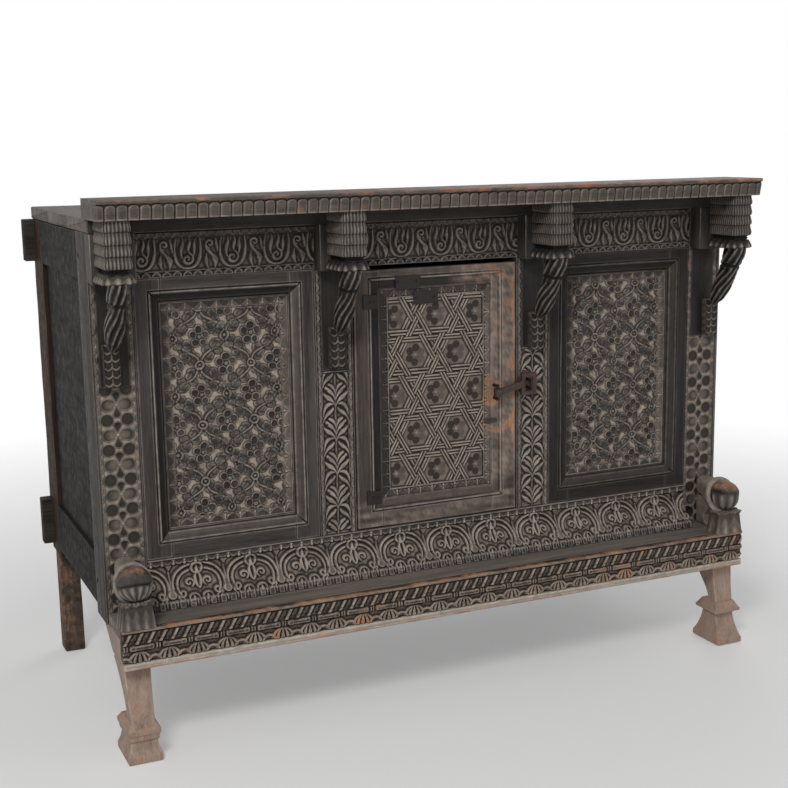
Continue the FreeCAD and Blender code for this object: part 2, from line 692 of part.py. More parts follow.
def front_leg(name):
    def slab(part, width, depth, z):
        middle_y = "front_face - leg_reach + leg_base_depth / 2"
        return box(
            name + part,
            ("-leg_x - %s / 2" % width, "-leg_x + %s / 2" % width),
            ("%s - %s / 2" % (middle_y, depth), "%s + %s / 2" % (middle_y, depth)),
            z,
        )
    flare = doc.addObject("Part::Wedge", name + "_flare")
    flare.Placement.Rotation = FreeCAD.Rotation(FreeCAD.Vector(1, 0, 0), 90)
    for side, sign in (("min", "-"), ("max", "")):
        bind(flare, "X" + side, "%sleg_base_width / 2" % sign)
        bind(flare, "Z" + side, "%sleg_base_depth / 2" % sign)
        bind(flare, "X2" + side, "%sleg_neck_width / 2" % sign)
        bind(flare, "Z2" + side, "%sleg_neck_depth / 2" % sign)
    bind(flare, "Ymin", "0")
    bind(flare, "Ymax", "leg_neck_height - leg_plinth")
    place(flare, "-leg_x", "front_face - leg_reach + leg_base_depth / 2", "leg_plinth")
    shaft_outline = [("front_face - knee_reach", "lower_rail_bottom")]
    for across, up in SHIN_OUTLINE_SHARES:
        y = "front_face - knee_reach - %s * (leg_reach - knee_reach)" % across
        shaft_outline.append((y, "collar_top + %s * (strip_bottom - collar_top)" % up))
    for across, up in CALF_OUTLINE_SHARES:
        extent = "leg_reach" if across < 0 else "leg_back"
        z = "collar_top + %s * (lower_rail_bottom - collar_top)" % up
        shaft_outline.append(("front_face + %s * %s" % (across, extent), z))
    shaft = profile(name + "_shaft", "YZ_Plane", shaft_outline, "leg_width", "-leg_x - leg_width / 2")
    parts = [
        slab("_plinth", "leg_base_width", "leg_base_depth", ("0", "leg_plinth")),
        flare,
        slab("_collar", "leg_collar_width", "leg_collar_depth", ("leg_neck_height", "collar_top")),
        shaft,
        leg_tenon,
    ]
    return fuse(name, parts)


both_sides("front_leg", front_leg)


# Corner scrolls on the ends of the ledge


def scroll(name):
    def outline(shares):
        return [
            ("front_face - %s * scroll_reach" % reach, "ledge_top + %s * scroll_height" % up)
            for reach, up in shares
        ]
    bud = doc.addObject("Part::Sphere", name + "_bud")
    bind(bud, "Radius", "bud_diameter / 2")
    place(bud, "-scroll_x", "bud_y", "bud_z")
    ring = doc.addObject("Part::Torus", name + "_ring")
    ring.Placement.Rotation = AXIS_TURNS["y"]
    bind(ring, "Radius1", "(bud_diameter - collar_diameter) / 2")
    bind(ring, "Radius2", "collar_diameter / 2")
    place(ring, "-scroll_x", "bud_y + bud_ring_back", "bud_z")
    arm_start = "-scroll_x - scroll_arm_width / 2"
    arm = profile(name + "_arm", "YZ_Plane", outline(ARM_OUTLINE_SHARES), "scroll_arm_width", arm_start)
    board_start = "-scroll_x - scroll_board / 2"
    board = profile(name + "_board", "YZ_Plane", outline(BOARD_OUTLINE_SHARES), "scroll_board", board_start)
    pedestal = box(
        name + "_pedestal",
        ("-scroll_x - pedestal_width / 2", "-scroll_x + pedestal_width / 2"),
        ("bud_y - pedestal_depth / 2", "bud_y + pedestal_depth / 2"),
        ("ledge_top", "ledge_top + pedestal_height"),
    )
    return fuse(name, [bud, ring, arm, board, pedestal])


both_sides("corner_scroll", scroll)


# Framed carved leaves: the fixed ones beside the door, then the door


def frame_rail(name, x, y, z, tenon_y_pair):
    """A rail between two stiles, with a tenon at each end."""
    body = box(name + "_body", x, y, z)
    tenon = box(name + "_tenon", ("%s - leaf_tenon" % x[0], "%s + leaf_tenon" % x[1]), tenon_y_pair, z)
    return fuse(name + "_whole", [body, tenon]), tenon


def middle_of(y):
    """The depth of a leaf's tenons, in the middle of its frame."""
    return ("(%s + %s) / 2 - leaf_tenon_thickness / 2" % y, "(%s + %s) / 2 + leaf_tenon_thickness / 2" % y)


window_y = ("front_face + window_setback", "front_face + window_setback + window_frame_depth")
window_left = "-post_inner"
window_right = "-mullion_outer"
window_rail_x = (window_left + " + window_stile", window_right + " - window_stile")
window_upper_z = ("head_bottom - window_rail_upper", "head_bottom")
window_lower_z = ("lower_rail_top", "lower_rail_top + window_rail_lower")
window_upper, window_upper_tenon = frame_rail(
    "window_upper", window_rail_x, window_y, window_upper_z, middle_of(window_y)
)
window_lower, window_lower_tenon = frame_rail(
    "window_lower", window_rail_x, window_y, window_lower_z, middle_of(window_y)
)
field_y = (window_y[0] + " + field_recess", window_y[0] + " + field_recess + field_thickness")
field_x = (window_rail_x[0] + " - groove_depth", window_rail_x[1] + " + groove_depth")
field_z = (window_lower_z[1] + " - groove_depth", window_upper_z[0] + " + groove_depth")
window_z = ("lower_rail_top", "head_bottom")
window_field = box("window_field", field_x, field_y, field_z)
window_tools = [window_upper_tenon, window_lower_tenon, window_field]
window_outer = box("window_outer", (window_left, window_rail_x[0]), window_y, window_z)
window_inner = box("window_inner", (window_rail_x[1], window_right), window_y, window_z)


def cut_pair(name, first, second, tools):
    """Two like pieces under one name, both without the tools."""
    return group(name, [cut(name + "_a", first, tools), cut(name + "_b", second, tools)])


both_sides("window_stiles", lambda name: cut_pair(name, window_outer, window_inner, window_tools))
both_sides("window_rails", lambda name: cut_pair(name, window_upper, window_lower, [window_field]))
both_sides("window_panel", lambda name: group(name, [window_field]))

door_y = ("front_face", "front_face + door_thickness")
door_z = ("door_bottom", "door_top")
door_rail_x = ("door_left + door_stile_left", "door_right - door_stile_right")
door_upper_z = ("door_top - door_rail_upper", "door_top")
door_lower_z = ("door_bottom", "door_bottom + door_rail_lower")
door_upper, door_upper_tenon = frame_rail("door_upper", door_rail_x, door_y, door_upper_z, middle_of(door_y))
door_lower, door_lower_tenon = frame_rail("door_lower", door_rail_x, door_y, door_lower_z, middle_of(door_y))
door_panel_face = "front_face + door_panel_recess"
door_field = box(
    "door_field",
    (door_rail_x[0] + " - groove_depth", door_rail_x[1] + " + groove_depth"),
    (door_panel_face, door_panel_face + " + door_panel_thickness"),
    (door_lower_z[1] + " - groove_depth", door_upper_z[0] + " + groove_depth"),
)
door_tools = [door_upper_tenon, door_lower_tenon, door_field]

# Irons of the door: two straps at the hinge corners, two mending plates, rivets


def plate(name, x, face, z):
    return box(name, x, (face + " - plate_thickness", face), z)


strap_x = ("hinge_x + strap_inset", "hinge_x + strap_inset + strap_width")
strap_zs = [
    ("door_top - strap_edge - strap_height", "door_top - strap_edge"),
    ("door_bottom + strap_edge", "door_bottom + strap_edge + strap_height"),
]
straps = [plate("strap_%d" % i, strap_x, "front_face", z) for i, z in enumerate(strap_zs)]
plate_half = "slot_plate_width / 2"
plate_xs = [
    ("-slot_plate_offset - " + plate_half, "-slot_plate_offset + " + plate_half),
    (
        "slot_plate_step_x - slot_plate_offset - " + plate_half,
        "slot_plate_step_x - slot_plate_offset + " + plate_half,
    ),
]
plate_middles = ["door_top - slot_plate_drop", "door_top - slot_plate_drop - slot_plate_step_z"]
plate_zs = [("%s - slot_plate_height / 2" % m, "%s + slot_plate_height / 2" % m) for m in plate_middles]
plate_faces = ["front_face", door_panel_face]
mending_plates = [
    plate("mending_plate_%d" % i, x, face, z)
    for i, (x, face, z) in enumerate(zip(plate_xs, plate_faces, plate_zs))
]


def rivets(name, places, face, z):
    """A rivet at each place along a plate, through it into the wood."""
    height = "(%s + %s) / 2" % z
    start = face + " - plate_thickness - rivet_head"
    return [
        rod("%s_%d" % (name, i), "y", (x, start, height), "rivet_length", "rivet_diameter")
        for i, x in enumerate(places)
    ]


def near_ends(x):
    return ("%s + rivet_edge" % x[0], "%s - rivet_edge" % x[1])


past_hinge_edge = "hinge_x + door_thickness / 2 + rivet_diameter / 2 + rivet_clearance"
strap_rivets = []
for i, z in enumerate(strap_zs):
    strap_rivets += rivets("strap_rivet_%d" % i, (past_hinge_edge, near_ends(strap_x)[1]), "front_face", z)
upper_rivets = rivets("upper_rivet", near_ends(plate_xs[0]), plate_faces[0], plate_zs[0])
lower_rivets = rivets("lower_rivet", near_ends(plate_xs[1]), plate_faces[1], plate_zs[1])
node(cut("door_corner_straps", group("strap_pair", straps), strap_rivets))
node(cut("door_mending_plates", group("plate_pair", mending_plates), upper_rivets + lower_rivets))
node(group("door_rivets", strap_rivets + upper_rivets + lower_rivets))
node(group("door_pivots", pivots))

# Staples, rosette plate and hasp


def staple(name, x, tip_y, middle_z, span):
    """Two legs driven into the wood and a rod across their ends."""
    half = "(%s) / 2" % span
    leg_length = "front_face + staple_depth - (%s)" % tip_y
    parts = []
    for i, sign in enumerate("-+"):
        start = (x, tip_y, "%s %s %s" % (middle_z, sign, half))
        parts.append(rod("%s_leg_%d" % (name, i), "y", start, leg_length, "staple_rod"))
    bridge_start = "%s - %s - staple_rod / 2" % (middle_z, half)
    parts.append(rod(name + "_bridge", "z", (x, tip_y, bridge_start), "%s + staple_rod" % span, "staple_rod"))
    return fuse(name, parts)


door_staple = node(staple("door_staple", "hasp_x", "hasp_y", "hasp_height", "staple_span"))
receiver_tip = "front_face - receiver_reach + staple_rod / 2"
receiver = node(staple("mullion_staple", "receiver_x", receiver_tip, "receiver_z", "receiver_span"))

lobes = [
    rod(
        "lobe_%d" % i,
        "y",
        (
            "receiver_x + %d * rosette_offset" % dx,
            "front_face - rosette_thickness",
            "receiver_z + %d * rosette_offset" % dz,
        ),
        "rosette_thickness",
        "rosette_lobe",
    )
    for i, (dx, dz) in enumerate(((0, 0), (1, 0), (0, 1), (-1, 0), (0, -1)))
]
node(cut("rosette_plate", fuse("rosette_whole", lobes), [receiver]))

arm_half = "hasp_arm_height / 2"
end_left = "receiver_x - hasp_end_width / 2"
end_right = "receiver_x + hasp_end_width / 2"
end_half = "hasp_end_height / 2"
hasp_outline = [
    ("hasp_x", "hasp_height - " + arm_half),
    (end_left, "receiver_z - " + arm_half),
    (end_left, "receiver_z - " + end_half),
    (end_right, "receiver_z - " + end_half),
    (end_right, "receiver_z + " + end_half),
    (end_left, "receiver_z + " + end_half),
    (end_left, "receiver_z + " + arm_half),
    ("hasp_x", "hasp_height + " + arm_half),
]
hasp_plate = profile("hasp_plate", "XZ_Plane", hasp_outline, "hasp_thickness", "hasp_y + hasp_thickness / 2")
eye_start = ("hasp_x", "hasp_y", "hasp_height - hasp_eye_height / 2")
hasp_eye = rod("hasp_eye", "z", eye_start, "hasp_eye_height", "hasp_eye_diameter")
eye_bore = rod("hasp_eye_bore", "z", eye_start, "hasp_eye_height", "staple_rod + 2 * hasp_clearance")
hasp_slot = box(
    "hasp_slot",
    ("receiver_x - hasp_slot_width / 2", "receiver_x + hasp_slot_width / 2"),
    ("hasp_y - hasp_thickness / 2", "hasp_y + hasp_thickness / 2"),
    ("receiver_z - hasp_slot_height / 2", "receiver_z + hasp_slot_height / 2"),
)
node(cut("hasp_arm", fuse("hasp_whole", [hasp_plate, hasp_eye]), [eye_bore, hasp_slot]))

# Door frame and uprights, now that everything driven into them is known

hinge_start = ("hinge_x", "hinge_y", "door_bottom")
hinge_round = rod("hinge_round", "z", hinge_start, "door_top - door_bottom", "door_thickness")
hinge_block = box("hinge_block", ("hinge_x", door_rail_x[0]), door_y, door_z)
hinge_whole = fuse("hinge_whole", [hinge_block, hinge_round])
node(cut("door_stile_hinge", hinge_whole, door_tools + pivots + strap_rivets))
lock_block = box("lock_block", (door_rail_x[1], "door_right"), door_y, door_z)
node(cut("door_stile_lock", lock_block, door_tools + [door_staple]))
node(cut("door_rail_upper", door_upper, [door_field] + upper_rivets))
node(cut("door_rail_lower", door_lower, [door_field]))
node(cut("door_panel", door_field, lower_rivets + [door_staple]))
node(group("mullion_left", [mullion_whole]))
node(cut("mullion_right", mullion_image, [receiver]))

# Build, test and write

doc.recompute()
broken = [o.Name for o in doc.Objects if "Invalid" in o.State or "Error" in o.State]
if broken:
    raise RuntimeError("objects failed: " + ", ".join(broken))
os.makedirs("parts", exist_ok=True)
for piece in nodes:
    shape = piece.Shape
    if shape.isNull() or not shape.isValid() or not shape.Solids:
        raise RuntimeError(piece.Label + " has no valid solid")
for piece in nodes:
    piece.Shape.exportStep("parts/%s.step" % piece.Label)
    print("%-26s %2d solids %10.0f mm3" % (piece.Label, len(piece.Shape.Solids), piece.Shape.Volume))
print(len(nodes), "nodes")
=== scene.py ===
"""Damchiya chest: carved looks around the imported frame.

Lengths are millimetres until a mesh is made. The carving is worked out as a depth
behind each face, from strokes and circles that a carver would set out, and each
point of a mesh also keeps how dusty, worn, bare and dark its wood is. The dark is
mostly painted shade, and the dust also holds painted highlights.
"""
import math

import bpy
import numpy as np
from mathutils import Matrix, Vector
from numpy import clip, concatenate, cos, exp, hypot, interp, linspace, maximum, minimum, sin, stack, where


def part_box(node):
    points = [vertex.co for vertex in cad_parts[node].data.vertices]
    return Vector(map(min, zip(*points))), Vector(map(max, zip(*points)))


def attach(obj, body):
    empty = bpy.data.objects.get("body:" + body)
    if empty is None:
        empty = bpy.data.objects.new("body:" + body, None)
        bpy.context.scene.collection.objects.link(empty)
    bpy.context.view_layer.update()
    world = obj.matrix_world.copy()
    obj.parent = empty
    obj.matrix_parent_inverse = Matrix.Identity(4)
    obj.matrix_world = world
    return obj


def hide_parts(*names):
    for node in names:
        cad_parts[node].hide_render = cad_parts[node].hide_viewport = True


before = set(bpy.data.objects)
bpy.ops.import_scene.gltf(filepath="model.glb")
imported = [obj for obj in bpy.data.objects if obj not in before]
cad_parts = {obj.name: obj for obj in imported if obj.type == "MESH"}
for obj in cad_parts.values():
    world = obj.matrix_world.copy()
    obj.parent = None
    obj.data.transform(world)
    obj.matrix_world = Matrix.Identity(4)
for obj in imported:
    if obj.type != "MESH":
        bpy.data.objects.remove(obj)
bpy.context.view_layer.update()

MM = 0.001
TURN = 2 * math.pi
# Tones kept at each point. dust also holds painted highlights. crease is painted shade in hollows, round the feet of
# shapes and on sides that face away from the light, with some plainly darker tone of the wood.
TONES = ("dust", "edge", "bare", "crease")
AXES = {"x": (0, 1, 2), "y": (1, 0, 2), "z": (2, 0, 1)}
FAR = 9

# The frame: faces from front to back, levels upwards, and where things are sideways
EDGE, APRON_BACK, FRONT, RAIL_BACK, MULLION_BACK, POST_BACK = -314.0, -294, -205.0, -163, -145, -125
STRIP_FOOT, APRON_FOOT, BOTTOM, LEDGE_TOP, SILL, LINTEL, HEAD = 175, 188, 228, 250, 337.5, 855, 940
POST, MULLION, MULLION_X = (595, 675), (178, 254), 216
BETWEEN_POSTS, LEDGE_LENGTH = (-595, 595), (-672, 672)
SIDES = (("left", -1), ("right", 1))


def span(node):
    """Lowest and highest x, y and z of a CAD node, in pairs."""
    low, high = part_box(node)
    return [(low[i] / MM, high[i] / MM) for i in range(3)]


def mirrored(sign, pair):
    """A span on the left or right side, lowest end first."""
    return sorted(sign * place for place in pair)


# Meshes


def grid_faces(rows, columns, wrap=False):
    """Faces of a grid of points, whose last column may join its first."""
    index = np.arange(rows * columns).reshape(rows, columns)
    if wrap:
        index = concatenate([index, index[:, :1]], axis=1)
    return stack([index[:-1, :-1], index[:-1, 1:], index[1:, 1:], index[1:, :-1]], -1).reshape(-1, 4)


def patch(points, faces, **tones):
    """Points, faces and tones of some mesh, ready to be joined with others."""
    points = np.asarray(points, float).reshape(-1, 3)
    return points, faces, {tone: np.broadcast_to(tones.get(tone, 0.0), len(points)).astype(float) for tone in TONES}


def linked(name, data):
    thing = bpy.data.objects.new(name, data)
    bpy.context.scene.collection.objects.link(thing)
    return thing


def piece(name, patches, look, node=None, body="carcass"):
    """One object made of patches, which rides on a body and stands for a CAD node."""
    material, slot = look
    faces, offset = [], 0
    for points, polygons, _ in patches:
        faces += [[i + offset for i in polygon] for polygon in polygons]
        offset += len(points)
    mesh = bpy.data.meshes.new(name)
    mesh.from_pydata((concatenate([points for points, _, _ in patches]) * MM).tolist(), [], faces)
    for tone in TONES:
        values = concatenate([tones[tone] for _, _, tones in patches]).astype(np.float32)
        mesh.attributes.new(tone, "FLOAT", "POINT").data.foreach_set("value", values)
    mesh.validate()
    mesh.shade_smooth()
    mesh.set_sharp_from_angle(angle=math.radians(40))
    mesh.materials.append(material)
    thing = linked(name, mesh)
    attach(thing, body)
    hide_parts(node or name.rpartition("_")[0])


def blur(values, reach):
    """Mean over a square of 2 * reach + 1 cells."""
    width = 2 * reach + 1
    for axis in (0, 1):
        pad = [(reach + 1, reach) if a == axis else (0, 0) for a in (0, 1)]
        total = np.cumsum(np.pad(values, pad, mode="edge"), axis=axis)
        size = values.shape[axis]
        high = np.take(total, range(width, width + size), axis=axis)
        values = (high - np.take(total, range(size), axis=axis)) / width
    return values


def standing_out(depth, reach, scale):
    """Where a face stands out from what is round it, or lies lower, for a scale below nought."""
    return clip((blur(depth, reach) - depth) / scale, 0, 1)


def ramp(low, high, x):
    """0 below low, 1 above high, smooth between them; low may be the greater."""
    share = clip((x - low) / (high - low), 0, 1)
    return share * share * (3 - 2 * share)


def drift(u, v, size, seed):
    """Slow random waves between about -1 and 1."""
    random = np.random.default_rng(seed)
    total = 0.0
    for _ in range(6):
        across, up, phase = random.normal(0, 1), random.normal(0, 1), random.uniform(0, TURN)
        total = total + sin((across * u + up * v) / size * 2.2 + phase)
    return total / 3


def margins(u, v, x, z):
    """How far inside a rectangle's upright sides, and how far inside its level ones."""
    return minimum(u - x[0], x[1] - u), minimum(v - z[0], z[1] - v)


def carved(x, z, y_face, y_back, relief, *given, step=1.3, low_edge=None, ease=1.6):
    """A board whose front is carved as the Carving that relief(u, v, *given) gives.

    low_edge(u) may give a shaped lower edge, and y_face may depend on the height.
    """
    columns, rows = (max(3, round((high - low) / step) + 1) for low, high in (x, z))
    u, v = np.meshgrid(linspace(*x, columns), linspace(0, 1, rows))
    bottom = z[0] if low_edge is None else low_edge(u)
    v = bottom + v * (z[1] - bottom)
    cut = relief(u, v, *given)
    rounding = clip(ease - minimum(*margins(u, v, x, (bottom, z[1]))), 0, ease)
    depth = cut.depth + ease - np.sqrt(clip(ease**2 - rounding**2, 0, None))
    front = stack([u, (y_face(v) if callable(y_face) else y_face) + depth, v], -1).reshape(-1, 3)
    index = np.arange(rows * columns).reshape(rows, columns)
    ring = concatenate([index[0, :-1], index[:-1, -1], index[-1, :0:-1], index[:0:-1, 0]])
    behind = front[ring].copy()
    behind[:, 1] = y_back
    back = np.arange(len(front), len(front) + len(ring))
    sides = stack([ring, back, np.roll(back, -1), np.roll(ring, -1)], -1)
    faces = grid_faces(rows, columns).tolist() + sides.tolist() + [back[::-1].tolist()]
    # Painted shade in hollows that lie below what is round them, joined with the carving's own painted shade and darker
    # tone.
    crease = cut.outlined * standing_out(cut.depth, 3, -0.95) * (1 - 0.6 * cut.dust_wear_and_highlight)
    tones = {"dust": cut.dust, "edge": cut.worn * standing_out(depth, 2, 0.8), "bare": cut.bare,
             "crease": clip(maximum(crease, cut.dark), 0, 1)}
    full = {k: concatenate([t.reshape(-1), np.zeros(len(ring))]) for k, t in tones.items()}
    return patch(concatenate([front, behind]), faces, **full)


def loft(loops, **tones):
    """A closed skin through loops of points, with flat ends, facing outwards."""
    rows, columns = loops.shape[:2]
    quads = grid_faces(rows, columns, wrap=True)
    points = loops.reshape(-1, 3)
    a, b, d = (points[quads[:, i]] for i in (0, 1, 3))
    middles = np.repeat(loops.mean(axis=1)[:-1], columns, axis=0)
    outward = (np.cross(b - a, d - a) * (a - middles)).sum() > 0
    faces = quads.tolist() + [list(range(columns))[::-1], list(range((rows - 1) * columns, rows * columns))]
    if not outward:
        faces = [face[::-1] for face in faces]
    return patch(points, faces, **{k: np.asarray(t).reshape(-1) if np.ndim(t) else t for k, t in tones.items()})


def outline(side_points):
    """A square with rounded corners: where its corners' middles are, and the way out."""
    corners, ways = [], []
    signs = [(1, 1), (-1, 1), (-1, -1), (1, -1)]
    for quarter, sign in enumerate(signs):
        for i in range(5):
            angle = math.pi / 2 * (quarter + i / 4)
            corners.append(sign)
            ways.append((math.cos(angle), math.sin(angle)))
        end = signs[(quarter + 1) % 4]
        for i in range(1, side_points):
            corners.append([a + i / side_points * (b - a) for a, b in zip(sign, end)])
            ways.append(ways[-1])
    return np.array(corners, float), np.array(ways, float)


def bar(axis, stations, radius=2.5, cell=12.0, rough=0.5, seed=1, sides=6, **tones):
    """A sawn bar along an axis, with eased corners and a slightly uneven skin.

    A station gives its place along the axis, then the middle and the half size of
    the section on the two other axes.
    """
    stations = np.array(stations, float)
    start, end = stations[0, 0], stations[-1, 0]
    inwards = radius if end > start else -radius
    along = [start + inwards * s for s in (0.3, 1.0)] + [end - inwards * s for s in (0.3, 1.0)]
    for low, high in zip(stations[:-1, 0], stations[1:, 0]):
        along += list(linspace(low, high, max(2, math.ceil(abs(high - low) / cell) + 1)))
    along = np.unique(np.round(along, 4))
    order = stations[np.argsort(stations[:, 0])]
    corners, ways = outline(sides)
    ends = clip(minimum(abs(along - start), abs(along - end)) / radius, 0, 1)
    pull = radius * (1 - np.sqrt(clip(1 - (1 - ends) ** 2, 0, 1)))
    t, a = np.meshgrid(along, linspace(0, TURN, len(corners), endpoint=False), indexing="ij")
    inset = pull[:, None] + rough * abs(0.5 + 0.5 * drift(t, 60 * cos(a) + 20 * sin(3 * a), 70, seed))
    place = np.zeros(t.shape + (3,))
    place[..., AXES[axis][0]] = t
    for i in (0, 1):
        middle, half = (interp(along, order[:, 0], order[:, k])[:, None] for k in (i + 1, i + 3))
        reach = (half - radius) * corners[None, :, i] + radius * ways[None, :, i]
        place[..., AXES[axis][i + 1]] = middle + reach - inset * ways[None, :, i]
    edge = abs(ways[:, 0] * ways[:, 1]) * 2 * (0.55 + 0.45 * drift(t, 40 * cos(a), 45, seed + 9))
    return loft(place, edge=clip(edge, 0, 1), **tones)


def plank(x, y, z, grain, **settings):
    """A sawn board between two corners, with its grain along an axis."""
    along, first, second = ((x, y, z)[i] for i in AXES[grain])
    section = [sum(first) / 2, sum(second) / 2, (first[1] - first[0]) / 2, (second[1] - second[0]) / 2]
    return bar(grain, [[end] + section for end in along], **settings)


# Strokes, from which all carving is drawn


def tile(u, pitch, origin=0.0):
    """Distance from the nearest repeat of a place."""
    return u - origin - np.round((u - origin) / pitch) * pitch


def ink(u, v, points, widths):
    """Distance to a stroke through points, negative inside it; widths run along it."""
    radii = interp(linspace(0, 1, len(points)), linspace(0, 1, len(widths)), widths) / 2
    best = np.full(np.shape(u), 1e6)
    for (ax, az), (bx, bz), ra, rb in zip(points[:-1], points[1:], radii[:-1], radii[1:]):
        dx, dz = bx - ax, bz - az
        share = clip(((u - ax) * dx + (v - az) * dz) / (dx * dx + dz * dz + 1e-9), 0, 1)
        best = minimum(best, hypot(u - ax - share * dx, v - az - share * dz) - (ra + share * (rb - ra)))
    return best


def disc(u, v, x, z, radius, squash=1.0):
    return (hypot((u - x) / squash, v - z) - radius) * min(1.0, squash)


def curve(*controls, count=9):
    """Points of a Bezier curve."""
    share = linspace(0, 1, count)[:, None]
    level = [np.broadcast_to(np.array(c, float), (count, 2)) for c in controls]
    while len(level) > 1:
        level = [a + share * (b - a) for a, b in zip(level[:-1], level[1:])]
    return level[0]


def arc(x, z, radius, start, end, count, end_radius=None):
    """Points of an arc or spiral; angles in degrees from +x towards +z."""
    angle = np.radians(linspace(start, end, count))
    r = linspace(radius, end_radius or radius, count)
    return stack([x + r * cos(angle), z + r * sin(angle)], -1)


def only(test, gap):
    """A shape's distance where a test holds, and far outside it elsewhere."""
    return where(test, gap, FAR)


class Carving:
    """Depth behind a face. It starts cut down to its ground, and shapes stand up."""

    # The setting for hollows sets how much painted shade darkens them, and rim paints a dark outline of shade round the
    # foot of each shape. dark holds painted shade, and the pale tone holds dust, wear and painted highlights.
    def __init__(self, u, ground=5.0, dusty=1.0, outlined=1.0, worn=1.0, rim=0.0):
        self.ground, self.dusty, self.outlined, self.worn, self.rim = ground, dusty, outlined, worn, rim
        self.depth = np.full(u.shape, float(ground))
        self.bare, self.dust_wear_and_highlight, self.dark = np.zeros((3,) + u.shape)

    def stand(self, gap, top=0.6, soft=1.1, crown=0.0, size=4.0, light=0.0):
        """Leaves wood standing inside a shape; a crown rounds it over its size."""
        inside = ramp(soft, -soft, gap)
        level = top + crown * (1 - np.sqrt(clip(-gap / size, 0, 1)))
        self.depth = minimum(self.depth, self.ground + (level - self.ground) * inside)
        # Painted shade: a dark outline round the foot of each shape.
        if self.rim:
            around = self.rim * ramp(2.1, 1.0, gap) * ramp(-0.8, 0.2, gap)
            self.dark = maximum(self.dark * (1 - ramp(0, -0.8, gap)), around)
            self.dust_wear_and_highlight = self.dust_wear_and_highlight * (1 - around)
        if light:
            self.light(gap, light)

    def sink(self, gap, level, soft=1.0):
        """Cuts down to a level inside a shape."""
        self.depth = maximum(self.depth, self.depth + (level - self.depth) * ramp(soft, -soft, gap))

    def light(self, gap, amount):
        """Pale dust and wear inside a shape, whatever its depth, and painted highlights where a carving asks for them.
        """
        self.dust_wear_and_highlight = maximum(self.dust_wear_and_highlight, amount * ramp(1.0, -1.0, gap))

    # Painted shade, and in a few places the wood's darker tone.
    def shade(self, amount):
        self.dark = maximum(self.dark, amount)

    def rub(self, amount):
        self.bare = maximum(self.bare, amount)

    def flat(self, test, level=0.0):
        """Uncarved wood where a test holds."""
        self.depth = where(test, level, self.depth)

    @property
    def dust(self):
        # The dust tone also takes the painted highlights.
        full = max(self.ground, 1.0)
        deep = ramp(0.45 * full, 0.9 * full, self.depth)
        return clip(maximum(deep * self.dusty, self.dust_wear_and_highlight), 0, 1)


def notches(cut, along, across, pitch, height, width, origin=0.0, light=0.8):
    """A row of triangular cuts, wide where across is nought and pointed at height."""
    gap = maximum(abs(tile(along, pitch, origin)) - width / 2 * (1 - across / height), -across)
    cut.sink(gap, 3.5, soft=0.7)
    cut.light(gap, light)


def domes(cut, along, across, pitch, height, origin=0.0, top=0.7, pin=0.0):
    """A row of half-round scoops, with dust and maybe a pin between each two."""
    row = (across > 0) & (across < height)
    cut.flat(row, cut.ground)
    radius = 0.47 * pitch
    gap = hypot(tile(along, pitch, origin), across * radius / height) - radius
    cut.stand(only(row, gap), top=top + 1.2, crown=-1.2, size=5, soft=0.8)
    if pin:
        between = tile(along, pitch, origin + pitch / 2)
        stem = maximum(abs(between) - pin, abs(across - height / 2) - height * 0.42)
        cut.stand(minimum(stem, disc(between, across, 0, height * 0.78, pin * 2)), top=0.4, light=0.85)


def draw(cut, x, z, strokes, **settings):
    """Strokes left standing, given in a motif's own place."""
    for points, widths in strokes:
        cut.stand(ink(x, z, points, widths), size=max(widths) / 2, **settings)


def line(cut, distance, width=1.6, level=3.0):
    """A narrow groove along where a distance is nought."""
    cut.sink(abs(distance) - width / 2, level, soft=0.7)


# Materials


def rgb(red, green, blue):
    """A linear colour from its usual 0 to 255 numbers."""
    def linear(c):
        c /= 255
        return c / 12.92 if c <= 0.04045 else ((c + 0.055) / 1.055) ** 2.4
    return (linear(red), linear(green), linear(blue), 1.0)


WHITE = (1, 1, 1, 1)
COLOUR_A, COLOUR_B, COLOUR_OUT = 6, 7, 2  # the Mix node's sockets for colours
STRETCH = {"x": (0.05, 1, 1), "y": (1, 0.05, 1), "z": (1, 1, 0.05)}


